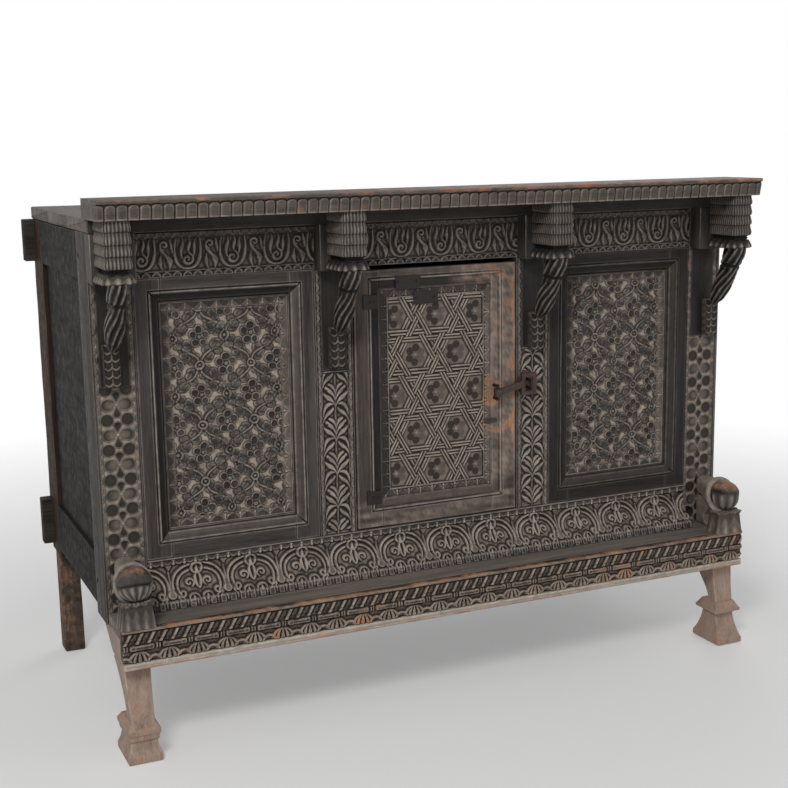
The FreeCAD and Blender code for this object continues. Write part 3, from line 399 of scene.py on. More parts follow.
class Shader:
    """The nodes of a material or of the world, added one after another."""

    def __init__(self, owner):
        owner.use_nodes = True
        self.owner, self.tree = owner, owner.node_tree
        self.surface = self.tree.nodes.get("Principled BSDF")
        self.place = self.surface and self.add("TexCoord").outputs["Object"]

    def add(self, kind, inputs=None, **settings):
        node = self.tree.nodes.new("ShaderNode" + kind)
        for key, value in settings.items():
            setattr(node, key, value)
        for key, value in (inputs or {}).items():
            self.put(value, node.inputs[key])
        return node

    def put(self, value, socket):
        if isinstance(value, bpy.types.NodeSocket):
            self.tree.links.new(value, socket)
        else:
            socket.default_value = value

    def noise(self, scale, stretch=(1, 1, 1), detail=4.0, rough=0.6, shift=0.0):
        moved = self.add("Mapping", {"Vector": self.place, "Scale": stretch, "Location": (shift, shift, shift)})
        settings = {"Vector": moved.outputs[0], "Scale": scale, "Detail": detail, "Roughness": rough}
        return self.add("TexNoise", settings).outputs["Fac"]

    def spread(self, value, low, high, to_low=0.0, to_high=1.0):
        settings = {"Value": value, "From Min": low, "From Max": high, "To Min": to_low, "To Max": to_high}
        return self.add("MapRange", settings, clamp=True).outputs[0]

    def times(self, a, b, operation="MULTIPLY"):
        """A product, or what another operation gives, kept between 0 and 1."""
        return self.add("Math", {0: a, 1: b}, operation=operation, use_clamp=True).outputs[0]

    def mix(self, share, a, b):
        node = self.add("Mix", {0: share, COLOUR_A: a, COLOUR_B: b}, data_type="RGBA")
        return node.outputs[COLOUR_OUT]

    def tone(self, name):
        return self.add("Attribute", attribute_name=name).outputs["Fac"]

    def finish(self, colour, roughness, height, bump_mm):
        bump = self.add("Bump", {"Height": height, "Distance": bump_mm * MM, "Strength": 0.6})
        for name, value in (("Base Color", colour), ("Roughness", roughness), ("Normal", bump.outputs[0])):
            self.put(value, self.surface.inputs[name])
        return self.owner

    def seen(self):
        """1 where the camera looks, straight, in a mirror or through glass."""
        rays = self.add("LightPath").outputs
        share = self.times(rays["Is Camera Ray"], rays["Is Glossy Ray"], "MAXIMUM")
        return self.times(share, rays["Is Transmission Ray"], "MAXIMUM")

    def blend(self, share, a, b, output):
        mixed = self.add("MixShader", {0: share, 1: a.outputs[0], 2: b.outputs[0]})
        self.put(mixed.outputs[0], self.tree.nodes[output].inputs["Surface"])


def wood(name, grain, slot="carved_dark_wood", dark=(38, 35, 33), light=(88, 83, 79), streak=(82, 58, 48),
         worn=(170, 161, 152), dust=(196, 179, 162), bare=(166, 112, 80), streak_amount=0.35, rough=0.62,
         bump=0.5, shine=0.2):
    """Old wood: fibres along the grain, streaks, dust in the hollows, worn edges, painted shade and painted highlights.
    """
    dark, light, streak, worn, dust, bare = (rgb(*c) for c in (dark, light, streak, worn, dust, bare))
    s = Shader(bpy.data.materials.new(name))
    s.surface.inputs["Specular IOR Level"].default_value = shine
    fibre = s.noise(420, STRETCH[grain], detail=5)
    band = s.noise(60, STRETCH[grain], detail=3, shift=3)
    blotch = s.noise(9, detail=5, rough=0.65, shift=7)
    grime = s.noise(55, detail=4, rough=0.7, shift=11)
    tone = s.times(s.spread(fibre, 0.3, 0.7, 0, 0.55), s.spread(band, 0.35, 0.7, 0, 0.6), "ADD")
    colour = s.mix(tone, dark, light)
    streaks = s.times(s.spread(band, 0.52, 0.7), s.spread(blotch, 0.42, 0.62))
    colour = s.mix(s.times(streaks, streak_amount), colour, streak)
    worn_here = s.times(s.tone("edge"), s.spread(grime, 0.36, 0.6, 0.35, 1.0))
    colour = s.mix(s.times(worn_here, 0.8), colour, worn)
    # The dust tone brings pale dust and painted highlights.
    dusty = s.times(s.tone("dust"), s.spread(grime, 0.32, 0.6, 0.35, 1.0))
    colour = s.mix(s.times(dusty, 0.92), colour, dust)
    # Painted shade: the crease tone darkens the colour towards near black.
    colour = s.mix(s.times(s.tone("crease"), 0.92), colour, rgb(20, 17, 16))
    speckle = s.noise(26, detail=5, rough=0.7, shift=17)
    rubbed = s.times(s.times(s.tone("bare"), 2.0), s.spread(speckle, 0.36, 0.64, -0.95, 0.25), "ADD")
    rubbed = s.times(rubbed, s.spread(grime, 0.3, 0.55, 0.45, 1.0))
    rubbed = s.times(rubbed, s.spread(s.tone("bare"), 0.0, 0.12))
    colour = s.mix(rubbed, colour, s.mix(s.spread(fibre, 0.35, 0.65), bare, rgb(190, 150, 124)))
    roughness = s.spread(grime, 0.3, 0.7, rough - 0.14, rough + 0.16)
    return s.finish(colour, roughness, s.times(fibre, s.times(grime, 0.5), "ADD"), bump), slot


def iron(name, dark, light, rust, rust_amount):
    """Forged iron with rust in patches and rubbed edges."""
    s = Shader(bpy.data.materials.new(name))
    s.surface.inputs["Metallic"].default_value = 0.35
    fine = s.noise(260, detail=5)
    patchy = s.noise(45, detail=5, rough=0.7, shift=5)
    colour = s.mix(s.spread(fine, 0.3, 0.7), rgb(*dark), rgb(*light))
    colour = s.mix(s.times(s.spread(patchy, 0.4, 0.62), rust_amount), colour, rgb(*rust))
    colour = s.mix(s.times(s.tone("edge"), 0.45), colour, rgb(150, 132, 122))
    return s.finish(colour, s.spread(patchy, 0.3, 0.7, 0.38, 0.66), fine, 0.35)


PLAIN = dict(slot="plain_dark_wood", streak_amount=0.6, shine=0.05)
PANED = dict(dark=(44, 40, 38), light=(96, 91, 88), shine=0.14)
HANDLED = dict(slot="door_wood", light=(98, 88, 82), dust=(186, 168, 153))
CARVED = wood("carved_wood_x", "x")
CARVED_UP = wood("carved_wood_z", "z")
CORNICE = wood("cornice_wood", "x", "cornice_wood", (50, 46, 43), (104, 96, 90), worn=(160, 146, 134),
               bare=(170, 92, 58))
APRON = wood("apron_wood", "x", dark=(34, 29, 26), light=(70, 62, 56), worn=(178, 160, 142))
# The ledge board's top is painted lighter than the same board's front, as painted light on its lit top, over its own
# grey-brown wood.
SHELF_LIT = wood("ledge_wood_painted_lit", "x", dark=(84, 77, 72), light=(140, 131, 123), streak=(112, 76, 58), bump=0.8)
DOOR = wood("door_wood", "z", **HANDLED)
DOOR_ACROSS = wood("door_wood_x", "x", **HANDLED)
WINDOW = wood("window_wood", "z", **PANED)
WINDOW_ACROSS = wood("window_wood_x", "x", **PANED)
# The sides' own dark wood, painted darker still than the front as painted shade.
SIDE_SHADED = wood("side_wood_painted_shade", "y", dark=(20, 19, 18), light=(42, 40, 38), streak=(66, 43, 33), worn=(84, 78, 72),
            bump=0.7, **PLAIN)
BACK = wood("back_wood", "x", dark=(34, 32, 30), light=(70, 66, 62), streak=(84, 58, 46), worn=(96, 88, 80),
            bump=0.7, **PLAIN)
REAR_POST = wood("post_wood", "z", dark=(38, 28, 24), light=(68, 53, 45), streak=(98, 62, 46),
                 worn=(120, 104, 92), bare=(118, 78, 54), **PLAIN)
TOP = wood("top_wood", "x", "worn_top_wood", (66, 60, 56), (118, 108, 102), (120, 84, 68), (160, 148, 140),
           bump=0.7)
LEG = wood("leg_wood", "z", "pale_wood", (132, 110, 98), (188, 166, 151), (150, 112, 92), (214, 198, 184),
           bare=(170, 138, 116))
LIMED = wood("limed_wood", "x", "limed_strip", (138, 126, 114), (188, 178, 166), (150, 118, 94),
             (232, 224, 212), bare=(178, 118, 78))
LEAF = wood("leaf_wood", "z", dark=(30, 27, 26), light=(66, 62, 60), rough=0.48)
IRON = iron("forged_iron", (12, 11, 11), (32, 29, 28), (54, 38, 31), 0.3)
HASP = iron("hasp_iron", (32, 28, 26), (74, 62, 58), (96, 62, 48), 0.4)
RUSTED = iron("rusted_plate", (62, 50, 44), (110, 92, 82), (122, 76, 52), 0.7)


# Posts and mullions


def strips(cut, rim, v, inner, outer, origin, pitch=18.0):
    """Upright border strips: leaf scallops with dust between them, then a fillet."""
    cut.flat(rim > inner, 0.5)
    line(cut, rim - inner - 1, 1.8, 3.5)
    notches(cut, v, rim - inner - 2.5, pitch, outer - inner - 7, pitch * 0.72, origin)
    line(cut, rim - outer + 3)


def post_relief(u, v, middle, first, pitch):
    """Flowers of four petals with two discs between each two, plain behind the leaf."""
    cut = Carving(u, outlined=0.1, worn=0.6, rim=0.4)
    x, z = abs(u - middle), tile(v, pitch, first)
    dish = 1.0 + 2.4 * clip(1 - hypot(x, z) / 27, 0, 1)
    wide = ink(x, z, [(6, 0), (13, 0), (17, 0)], (8, 23, 24))
    tall = ink(abs(z), u - middle, [(6, 0), (17, 0)], (6, 16))
    discs = disc(x, tile(v, pitch, first + pitch / 2), 18.5, 0, 12.8)
    cut.stand(tall, top=dish + 1.4, crown=-1.4, size=5)
    cut.stand(wide, top=dish + 1.8, crown=-1.8, size=8)
    cut.stand(hypot(x, z) - 3.2, top=2.0)
    cut.stand(discs, top=3.2, crown=-1.0, size=8)
    # Painted shade in the scooped petals and discs, darkest towards the petals' upper inner side.
    for shape, amount in ((wide, 0.9), (tall, 0.95), (discs, 0.9)):
        away = ramp(4, -6, x - 0.6 * z) if shape is wide else 1.0
        cut.shade(amount * ramp(-0.8, -2.6, shape) * (0.75 + 0.25 * away))
        cut.light(abs(shape + 1.2) - 0.5, 0.3)
    cut.light(hypot(x, z) - 2.2, 0.9)
    plain = v > 664
    cut.flat(plain & (x < 29), 1.5)
    cut.dark = where(plain & (x < 27), 0.75, cut.dark)
    cut.dust_wear_and_highlight = where(plain, 0, cut.dust_wear_and_highlight)
    strips(cut, x, v, 27.5, 40, first)
    cut.bare = 0.35 * ramp(0.9, 1.4, drift(u, v, 60, 5)) * (cut.depth < 1.5)
    return cut


def mullion_relief(u, v, middle, high, first, period):
    """Leaves fanning up from the middle stem, and smaller ones between from the edges."""
    cut = Carving(u, ground=5.5, dusty=0.3)
    x, z = abs(u - middle), tile(v, period, first)
    cut.stand(x - 1.4, top=1.8)
    leaves = [
        (curve((0, 15), (1, 27), (5, 34), (13, 37)), (2, 4, 7.5, 5)),
        (curve((0, 4), (2, 18), (10, 22), (19, 31)), (2, 4.5, 8.5, 6)),
        (curve((0, -8), (3, 8), (14, 8), (24, 20), count=10), (2, 5, 9.5, 4)),
        (curve((25, -24), (25, -8), (17, 1), (6, -1)), (2, 5.5, 8, 4)),
        (curve((25, -35), (23, -20), (10, -19), (5, -10)), (2, 5.5, 8, 4)),
    ]
    field = (v > 345) & (v < high)
    uneven = 0.5 + 0.25 * drift(u, v, 16, int(first))
    for shift in (-period, 0, period):
        for points, widths in leaves:
            gap = only(field, ink(x, z + shift, points, widths))
            cut.stand(gap, crown=1.4)
            cut.light(gap + 0.8, uneven)
        cut.sink(only(field, disc(x, z + shift, 18, 26, 2.0)), 4.0, soft=0.6)
    cut.stand(maximum(abs(v - high - 3) - 1.6, x - 25), top=1.2)
    cut.flat((v > high + 6) & (x < 28), 1.5)
    cut.shade(0.75 * ((v > high + 6) & (x < 26)))
    strips(cut, x, v, 26, 38, first, 19.3)
    return cut


for side, sign, *layout in (("left", -1, -635, 634, 55), ("right", 1, 631, 592, 58)):
    post = carved(mirrored(sign, POST), (BOTTOM, HEAD), FRONT, POST_BACK, post_relief, *layout)
    piece("front_post_%s_carved" % side, [post], CARVED_UP)
for side, sign, *layout in (("left", -1, -MULLION_X, 655, 462.3, 67), ("right", 1, MULLION_X, 668, 469, 63)):
    mullion = carved(mirrored(sign, MULLION), (SILL, LINTEL), FRONT, MULLION_BACK, mullion_relief, *layout)
    piece("mullion_%s_carved" % side, [mullion], CARVED_UP)


# Frieze and lower rail

FRIEZE_MIDDLE = 896


def frieze(u, v):
    """Bowls with a spiral and flame leaves by turns with drops of hanging leaves."""
    cut = Carving(u, ground=6.0, dusty=0.3, outlined=0.85)
    period, z = 84.0, v - FRIEZE_MIDDLE
    bowl = [
        (curve((-21, 27), (-30, -2), (-22, -27), (-2, -27), count=10), (3, 6, 4)),
        (curve((-2, -27), (22, -28), (26, 0), (23, 27), count=10), (4, 7, 3)),
        (arc(-1, -10, 2, -40, 430, 18, 11.5), (4, 6, 4)),
        (curve((-11, -8), (-17, 8), (-6, 14), (-9, 27), count=8), (3, 8, 2)),
        (curve((2, 3), (-2, 12), (8, 16), (3, 28), count=8), (3, 7, 2)),
        (curve((10, -4), (15, 8), (9, 14), (15, 27), count=8), (3, 7, 2)),
    ]
    drop = [
        (arc(-1, 16, 2, -150, 260, 14, 8.5), (4, 5.5, 4)),
        (curve((-9, 16), (-10, 2), (6, 2), (5, -14), count=8), (3, 6, 4)),
        (curve((2, -2), (13, -10), (7, -28), count=7), (3, 10.5, 2)),
        (curve((-7, 0), (-12, -14), (-5, -28), count=7), (2, 8, 2)),
        (curve((10, 26), (12, 12), (14, 2), count=6), (2, 6, 2)),
    ]
    x_bowl, x_drop = tile(u, period, 12), tile(u, period, 12 + period / 2)
    for shift in (-period, 0, period):
        for strokes, x in ((bowl, x_bowl), (drop, x_drop)):
            draw(cut, x + shift, z, strokes, light=0.16, crown=1.6)
    cut.light(ink(x_drop, z, [(5, -8), (8, -16), (7, -23)], (2, 5, 1)), 0.4)
    cut.flat(v > 925, 0.6)
    notches(cut, u, v - 926, 16, 8, 12, light=0.6)
    line(cut, v - 935.5, 1.4)
    cut.flat(v < 867, 0.6)
    # Painted shadow under the cornice, over the top of the frieze.
    cut.shade(0.45 * ramp(921, 927, v))
    domes(cut, u, v - 856.5, 19, 8.5, top=0.6)
    line(cut, v - 866.5)
    return cut


MEDALLION, MEDALLION_X = 102.3, 17  # their pitch, and the place of one of them


def lean(z):
    """How far the foot of the lower rail stands forward."""
    return 38 * ramp(314, 246, z)


def medallions(u, v):
    """Arches with a flower and scrolls, and clubs between them over a row of pins."""
    cut = Carving(u, ground=6.5, dusty=0.45)
    z = v - 0.32 * lean(v) - 252
    even = u + 0.34 * ((u - MEDALLION_X) / MEDALLION) ** 2  # they stand wider apart towards the left
    whole = tile(even, MEDALLION, MEDALLION_X)
    x = abs(whole)
    for share in (1.0, 0.83):
        arch = curve((36 * share, 0), (58 * share, 24), (50 * share, 69 * share), (0, 69 * share), count=14)
        draw(cut, x, z - (1 - share) * 8, [(arch, (3, 4.8, 4.8, 3.6))], light=0.65, crown=1.2)
    cut.sink(disc(whole, z, 0, 60, 14), 6.5)
    cut.stand(abs(hypot(whole, z - 60) - 9.8) - 2.6, top=0.5, crown=0.8, size=2.6)
    cut.stand(ink(whole, z - 59, [(0, -5), (0, 5)], (7, 2)), top=1.4, light=0.9)
    inner = [
        (arc(17, 33, 2, 200, 600, 16, 9.5), (3.5, 4.8, 3.5)),
        (arc(33, 14, 2, -20, 360, 16, 9), (3.5, 4.8, 3.5)),
        (curve((0, 52), (8, 46), (6, 26), (0, 20), count=8), (2, 7, 3)),
    ]
    draw(cut, x, z, inner, top=0.7, light=0.65, crown=0.8)
    cut.stand(abs(hypot(x - 12.5, z - 2) - 9) - 1.9, top=0.7, light=0.4)
    draw(cut, x, z, [(curve((12.5, 1), (12.5, 9), count=3), (6, 1))], top=1.0, light=0.8)
    club = tile(even, MEDALLION, MEDALLION_X + MEDALLION / 2)
    cut.sink(disc(club, z, 0, 13, 10.5), 6.5)
    draw(cut, club, z, [([(0, 13), (0, 26), (0, 58)], (17, 6, 1.5))], light=0.25, crown=1.2)
    draw(cut, club, z, [([(0, 70), (0, 61)], (13, 2))], top=0.8)
    cut.flat(v > 323, 0.6)
    domes(cut, even, 334 - v, MEDALLION / 5, 11, 6, pin=1.6)
    cut.flat(v > 334, 0.3)
    foot = z < 2
    cut.flat(foot, 0.6)
    pins = tile(even, MEDALLION / 5.5)
    cut.flat(foot & (abs(abs(pins) - MEDALLION / 11) > 5.2), 2.6)
    gap = minimum(maximum(abs(pins) - 1.5, abs(z + 5) - 4), disc(pins, z, 0, -1.5, 2.9))
    cut.stand(only(foot, gap), light=0.25)
    return cut


piece("head_rail_carved", [carved(BETWEEN_POSTS, (LINTEL, HEAD), FRONT, RAIL_BACK, frieze)], CARVED)
rail = [carved(BETWEEN_POSTS, (LEDGE_TOP, SILL), lambda z: FRONT - lean(z), RAIL_BACK, medallions),
        plank(BETWEEN_POSTS, (FRONT, RAIL_BACK), (BOTTOM, LEDGE_TOP), "x")]
piece("lower_rail_carved", rail, CARVED)


# Ledge, apron and the pale strip under it

# Pitches of the rope, the fret and the scallops, and the middle heights of the first two
ROPE, FRET, SCALLOP = 21.5, 59, 53.5
ROPE_Z, FRET_Z = 232, 215.5


def apron(u, v):
    """A rope, a fret of bars and rings, and a row of lobed scallops."""
    cut = Carving(u, dusty=0.2)
    leaning, inside = u - 0.55 * (v - ROPE_Z), abs(v - ROPE_Z) - 9.5
    strand = maximum(abs(tile(leaning, ROPE, 4)) - 3.0, inside)
    cut.stand(strand, top=0.8, crown=0.8, size=3, light=0.5)
    lozenge = maximum(abs(tile(leaning, ROPE, 4 + ROPE / 2)) + abs(v - ROPE_Z) * 0.6 - 4.6, inside)
    cut.stand(lozenge, top=2.6)
    # Painted shade in the hollows between the rope's strands.
    cut.shade(0.7 * ramp(1, -1, lozenge))
    cut.flat(v > 243, 0.3)
    line(cut, v - 243.6, 1.8, 4)
    cut.bare = ramp(247, 248.5, v) * ramp(-640, -560, u) * (0.55 + 0.45 * drift(u, v, 70, 12))
    line(cut, v - 221.5, level=4)
    fret = abs(v - FRET_Z)
    cut.stand(maximum(abs(tile(u, FRET, 12)) + 0.6 * fret - 21, fret - 4.2), top=0.8)
    pair = abs(tile(u, FRET, 12 + FRET / 2))
    bars = maximum(abs(pair - 2.4) - 1.2, fret - 4)
    cut.stand(bars, top=0.8)
    hoop = only(fret < 5, abs(hypot((pair - 13) * 1.1, fret) - 5) - 1.3)
    cut.stand(hoop, top=0.8)
    cut.light(minimum(bars, hoop), 0.3)
    line(cut, v - 210, 1.8, 4)
    side, below = abs(tile(u, SCALLOP)), v < 209
    lobes = [
        ([(0, 207), (0, 191)], (3, 8)),
        (curve((3, 207), (8, 203), (10, 192), count=5), (2.5, 7)),
        (curve((6, 207), (14, 204), (18.5, 195), count=5), (2.5, 6.5)),
    ]
    spot = hypot(side - 26.7, v - 187)
    cut.stand(only(below, abs(spot - 12) - 2.2), top=0.7, light=0.45)
    cut.stand(only(below, spot - 5), top=2.5)
    cut.light(only(below, abs(spot - 7.5) - 1.2), 0.8)
    draw(cut, side, v, lobes, top=0.7, light=0.3, crown=0.7)
    rubbed = sum(ramp(16, 6, abs(u - place)) for place in (-560, -386, -222, 156, 494, 598))
    cut.rub(0.55 * rubbed * ramp(211, 207, v) * (cut.depth < 3))
    cut.rub(0.5 * ramp(0.3, 1, drift(u, v, 90, 31)) * (cut.depth < 1.2))
    return cut


def scallops(u):
    """The apron's lower edge."""
    side = abs(tile(u, SCALLOP))
    return 188.3 + 2.6 * ramp(20, 24, side) + 1.2 * abs(sin(side * math.pi / 9.5))


def lime(u, v):
    """A thin uneven coat, worn off along the foot."""
    cut = Carving(u, ground=0.0)
    cut.depth = 0.4 + 0.4 * drift(u, v, 30, 3)
    cut.bare = ramp(180.5, 176.5, v) * (0.7 + 0.3 * drift(u, v, 50, 8))
    return cut


ledge = carved(LEDGE_LENGTH, (BOTTOM, LEDGE_TOP), EDGE, -300, apron, ease=2.2)
piece("ledge_edge_carved", [ledge], APRON, "ledge_board")
shelf = plank(LEDGE_LENGTH, (-301, FRONT), (BOTTOM, LEDGE_TOP), "x", rough=0.9, seed=4)
piece("ledge_board_top", [shelf], SHELF_LIT)
front = carved(LEDGE_LENGTH, (APRON_FOOT, BOTTOM), EDGE, APRON_BACK, apron, low_edge=scallops)
piece("apron_front_carved", [front], APRON)
strip = carved(LEDGE_LENGTH, (STRIP_FOOT, APRON_FOOT), EDGE + 2, APRON_BACK, lime, step=2.2)
piece("pale_strip", [strip], LIMED, "apron_backing_strip")


# Cornice

TONGUE, CORNICE_END, CORNICE_FOOT, CORNICE_TOP = 19.85, 678, 965.2, 1000


def tongues(u, v):
    """A row of round-headed tongues under a worn roll."""
    cut = Carving(u, ground=6.0, worn=0.5)
    arch = hypot(tile(u, TONGUE, 0.5), clip(v - 983, 0, None)) - 8.9
    cut.stand(only(v < 993, arch), top=1.0, soft=1.3, crown=1.6, size=8)
    number = np.round((u - 0.5) / TONGUE)
    uneven = np.modf(abs(sin(number * 12.9898) * 43758.5))[0]
    cut.depth = cut.depth + 1.5 * uneven * (v < 992)
    cut.flat(v > 992.5, 0.3)
    line(cut, v - 992.5, level=3.5)
    cut.light(abs(v - 966.5) - 1.2, 0.6)
    redder = 0.25 + 0.35 * ramp(-300, 600, u)
    cut.bare = 0.1 * (uneven > 0.72) * ramp(985, 970, v) * (cut.depth < 5)
    cut.bare += redder * ramp(992, 996, v) * (0.75 + 0.25 * drift(u, v, 60, 17))
    cut.rub(0.35 * ramp(0.8, 1.4, drift(u, v, 45, 19)) * (cut.depth < 1.5))
    return cut


def cornice_face(z):
    """Where the cornice's front lies, leaning back below its roll."""
    roll = 3.0 - np.sqrt(clip(9 - clip(abs(z - 997), 0, 3) ** 2, 0, None))
    return -335 + where(z > 994, roll, 6 * (994 - z) / 29 + 1.5)


for side, x in (("left", (-CORNICE_END, 112)), ("right", (112.4, CORNICE_END))):
    face = carved(x, (CORNICE_FOOT, CORNICE_TOP), cornice_face, FRONT, tongues, step=1.25, ease=1.2)
    piece("cornice_%s_carved" % side, [face], CORNICE)


# Windows

# Front and back of a window's frame and of its panel, and the panel's sides and height
SASH, FIELD = (-203, -171), (-191, -179)
PANE_X, PANE_Z = (303, 546), (389.5, 809)


def frame_relief(u, v, x, z, seed, shade=0.0):
    """A flat frame whose inner edge slopes down, with mitres at the corners."""
    (x0, x1), (z0, z1) = x, z
    cut = Carving(u, ground=0.0, dusty=0.0)
    out = -minimum(*margins(u, v, x, z))
    slope = clip((19 - out) / 19, 0, 1)
    ogee = slope + 0.12 * sin(TURN * slope)
    sunk = ramp(0.02, 0.2, slope) * ramp(1.0, 0.84, slope)
    # Painted shade on the left and top inner slopes, which face away from the light, and a faint painted highlight on
    # the right and bottom ones.
    shaded_slope = ((u - x0 < v - z0) & (u < x0)) | ((v > z1) & (z1 - v < x1 - u))
    cut.dark = maximum(shade, where(shaded_slope, 0.9, 0.28) * sunk)
    cut.dust_wear_and_highlight = 0.16 * sunk * ~shaded_slope
    cut.depth = 0.8 + 0.6 * drift(u, v, 45, seed) + 10.4 * ogee * (slope > 0)
    cut.depth -= 1.2 * exp(-((out - 20) / 1.6) ** 2)
    line(cut, out - 23, 1.4, 2.8)
    cut.light(abs(out - 20) - 0.7, 0.5)
    cut.sink(abs(out - 3.2) - 0.7, 12.0, soft=0.6)
    mitre = minimum(abs(u - x0), abs(u - x1)) - minimum(abs(v - z0), abs(v - z1))
    corner = (out > 0) & (out < 22) & ((u < x0) | (u > x1)) & ((v < z0) | (v > z1))
    cut.sink(only(corner, abs(mitre) - 0.9), 7.0, soft=0.8)
    return cut


def border(cut, edge, width):
    """Flattens the carving near a panel's edge, and clears its painted highlights, pale dust and painted shade."""
    cut.flat(edge < width, 0.5)
    within = ramp(width - 1, width + 1, edge)
    cut.dust_wear_and_highlight, cut.dark = cut.dust_wear_and_highlight * within, cut.dark * within


def net(cut, u, v, x_middle, z_node, half_x, half_z):
    """Nodes and flowers by turns, joined by curved stems, with lobed leaves over the ground."""
    path = curve((3, 6), (4, half_z * 0.52), (half_x - 4, half_z * 0.46), (half_x - 2, half_z - 8), count=10)
    lobes = [(10, 40, 6.5), (36, 9, 7.0), (33, 26, 8.0), (21, 34, 8.0), (27, 15, 7.0), (16, 23, 6.5)]
    veins = [(curve((10, 40), (20, 30), (33, 14), count=6), (1.2, 2.4, 1.2)),
             (curve((21, 29), (28, 30), (36, 31), count=4), (2.0, 1.0)),
             (curve((17, 31), (10, 32), (4, 37), count=4), (2.0, 1.0))]
    for shift in (0, 1):
        x = tile(u, 2 * half_x, x_middle + shift * half_x)
        z = tile(v, 2 * half_z, z_node + shift * half_z)
        flower_x = tile(u, 2 * half_x, x_middle + (1 - shift) * half_x)
        way = where(flower_x * z > 0, 1.0, -1.0)
        a, b, ring = abs(flower_x), abs(z), hypot(x, z)
        stem = ink(abs(x), b, path, (3, 3.6, 3.6, 2.6))
        cut.stand(stem, top=0.4, crown=0.6, size=2)
        cut.light(abs(stem + 0.8) - 0.5, 0.35)
        for k, (lx, lz, size) in enumerate(lobes):
            leaf = disc(a, b, lx + (2.5 if k % 2 else -2) * way, lz - 2.5 * way, size, squash=1.15)
            cut.stand(leaf, top=0.9 + 0.3 * (k % 3), crown=1.4, size=6)
            cut.shade(0.3 * ramp(-1, -4, leaf) * (way > 0))
        for points, widths in veins:
            cut.light(ink(a, b, points, widths), 0.5)
        cut.stand(only(ring < 34, stem), top=0.2, crown=0.6, size=2)
        cut.light(only(ring < 34, abs(stem + 0.6) - 0.6), 0.6)
        for angle in range(18, 378, 72):
            px, pz = 13.0 * math.cos(math.radians(angle)), 14.0 * math.sin(math.radians(angle))
            petal = disc(flower_x, z, px, pz, 8.2)
            cut.stand(petal, top=2.8, crown=-2.2, size=6)
            # Painted shade in the upper-left petals, and a brighter painted highlight on the rims of the lower-right
            # ones.
            shadow = 0.75 if pz - px > -8 else 0.35
            cut.dark = where(petal < 0, shadow * ramp(-0.6, -2.2, petal), cut.dark)
            cut.light(abs(petal + 0.9) - 0.6, 0.45 + 0.35 * (px > 0 and pz < 4))
        cut.stand(hypot(flower_x, z) - 3.8, top=1.0)
        cut.stand(abs(ring - 7.4) - 2.2, top=0.8)
        cut.stand(ring - 2.8, top=1.2)


def window_relief(u, v, x, z, lattice, pitch):
    """A net of flowers and leaves within a row of scoops."""
    cut = Carving(u, ground=5.2, dusty=0.95, outlined=0.22, rim=0.9)
    net(cut, u + 1.6 * drift(u, v, 30, 61), v + 1.6 * drift(u, v, 30, 62), *lattice)
    across, up = margins(u, v, x, z)
    edge, side, middle = minimum(across, up), across < up, sum(x) / 2
    border(cut, edge, 17)
    cut.rim = 0.0
    domes(cut, where(side, v, u), edge - 1.5, pitch, 13, where(side, z[0] + 8, middle), pin=1.3)
    # Painted shade in the left border and, less, in the upper half of the others, and a painted highlight along the
    # right one.
    shade = where(side & (u < middle), 0.6, where(v > sum(z) / 2, 0.35, 0.0))
    cut.shade(shade * ramp(15, 13, edge) * (cut.depth < 3))
    cut.light(only(side & (u > x[1] - 17), abs(edge - 8) - 6), 0.3)
    line(cut, edge - 16, level=3.6)
    cut.light(abs(edge - 0.8) - 0.7, 0.6)
    return cut


for side, sign, seed, shade, *lattice in (("left", -1, 40, 0.12, (-426, 634, 49, 54.5), 29.5),
                                          ("right", 1, 50, 0.68, (421, 732, 48.5, 54), 26.0)):
    x, z, outer = mirrored(sign, PANE_X), PANE_Z, mirrored(sign, (MULLION[1], POST[0]))
    look = (*SASH, frame_relief, x, z, seed, shade)
    stiles = [carved(ends, (SILL, LINTEL), *look) for ends in ((outer[0], x[0]), (x[1], outer[1]))]
    piece("window_stiles_%s_moulded" % side, stiles, WINDOW)
    rails = [carved(x, ends, *look, ease=0.6) for ends in ((SILL, z[0]), (z[1], LINTEL))]
    piece("window_rails_%s_moulded" % side, rails, WINDOW_ACROSS)
    field = carved(x, z, *FIELD, window_relief, x, z, *lattice, step=1.15, ease=0.4)
    piece("window_panel_%s_carved" % side, [field], CARVED_UP)


# Door

DOOR_X, DOOR_Z, DOOR_BACK = (-175, 175), (340.5, 846), -175
PANEL_X, PANEL_Z, PANEL_DEEP = (-121, 121), (395.5, 808), (-202, -188)


def door_wear(u, v):
    """Where hands have rubbed the wood beside the hasp."""
    hasp = hypot((u - 124) / 30, (v - 592) / 36)
    smile = abs(hypot((u - 131) / 42, (v - 556) / 46) - 1) * 5.5 + 2 * ramp(528, 542, v)
    return ramp(1.1, 0.5, minimum(hasp, smile) + 0.2 * drift(u, v, 26, 23))


def door_hollow_shadow(u, v):
    """Painted shadow in the hollow above the worn crescent."""
    return 0.75 * ramp(1.2, 0.5, hypot((u - 118) / 26, (v - 528 - 0.0016 * (u - 118) ** 2) / 8))


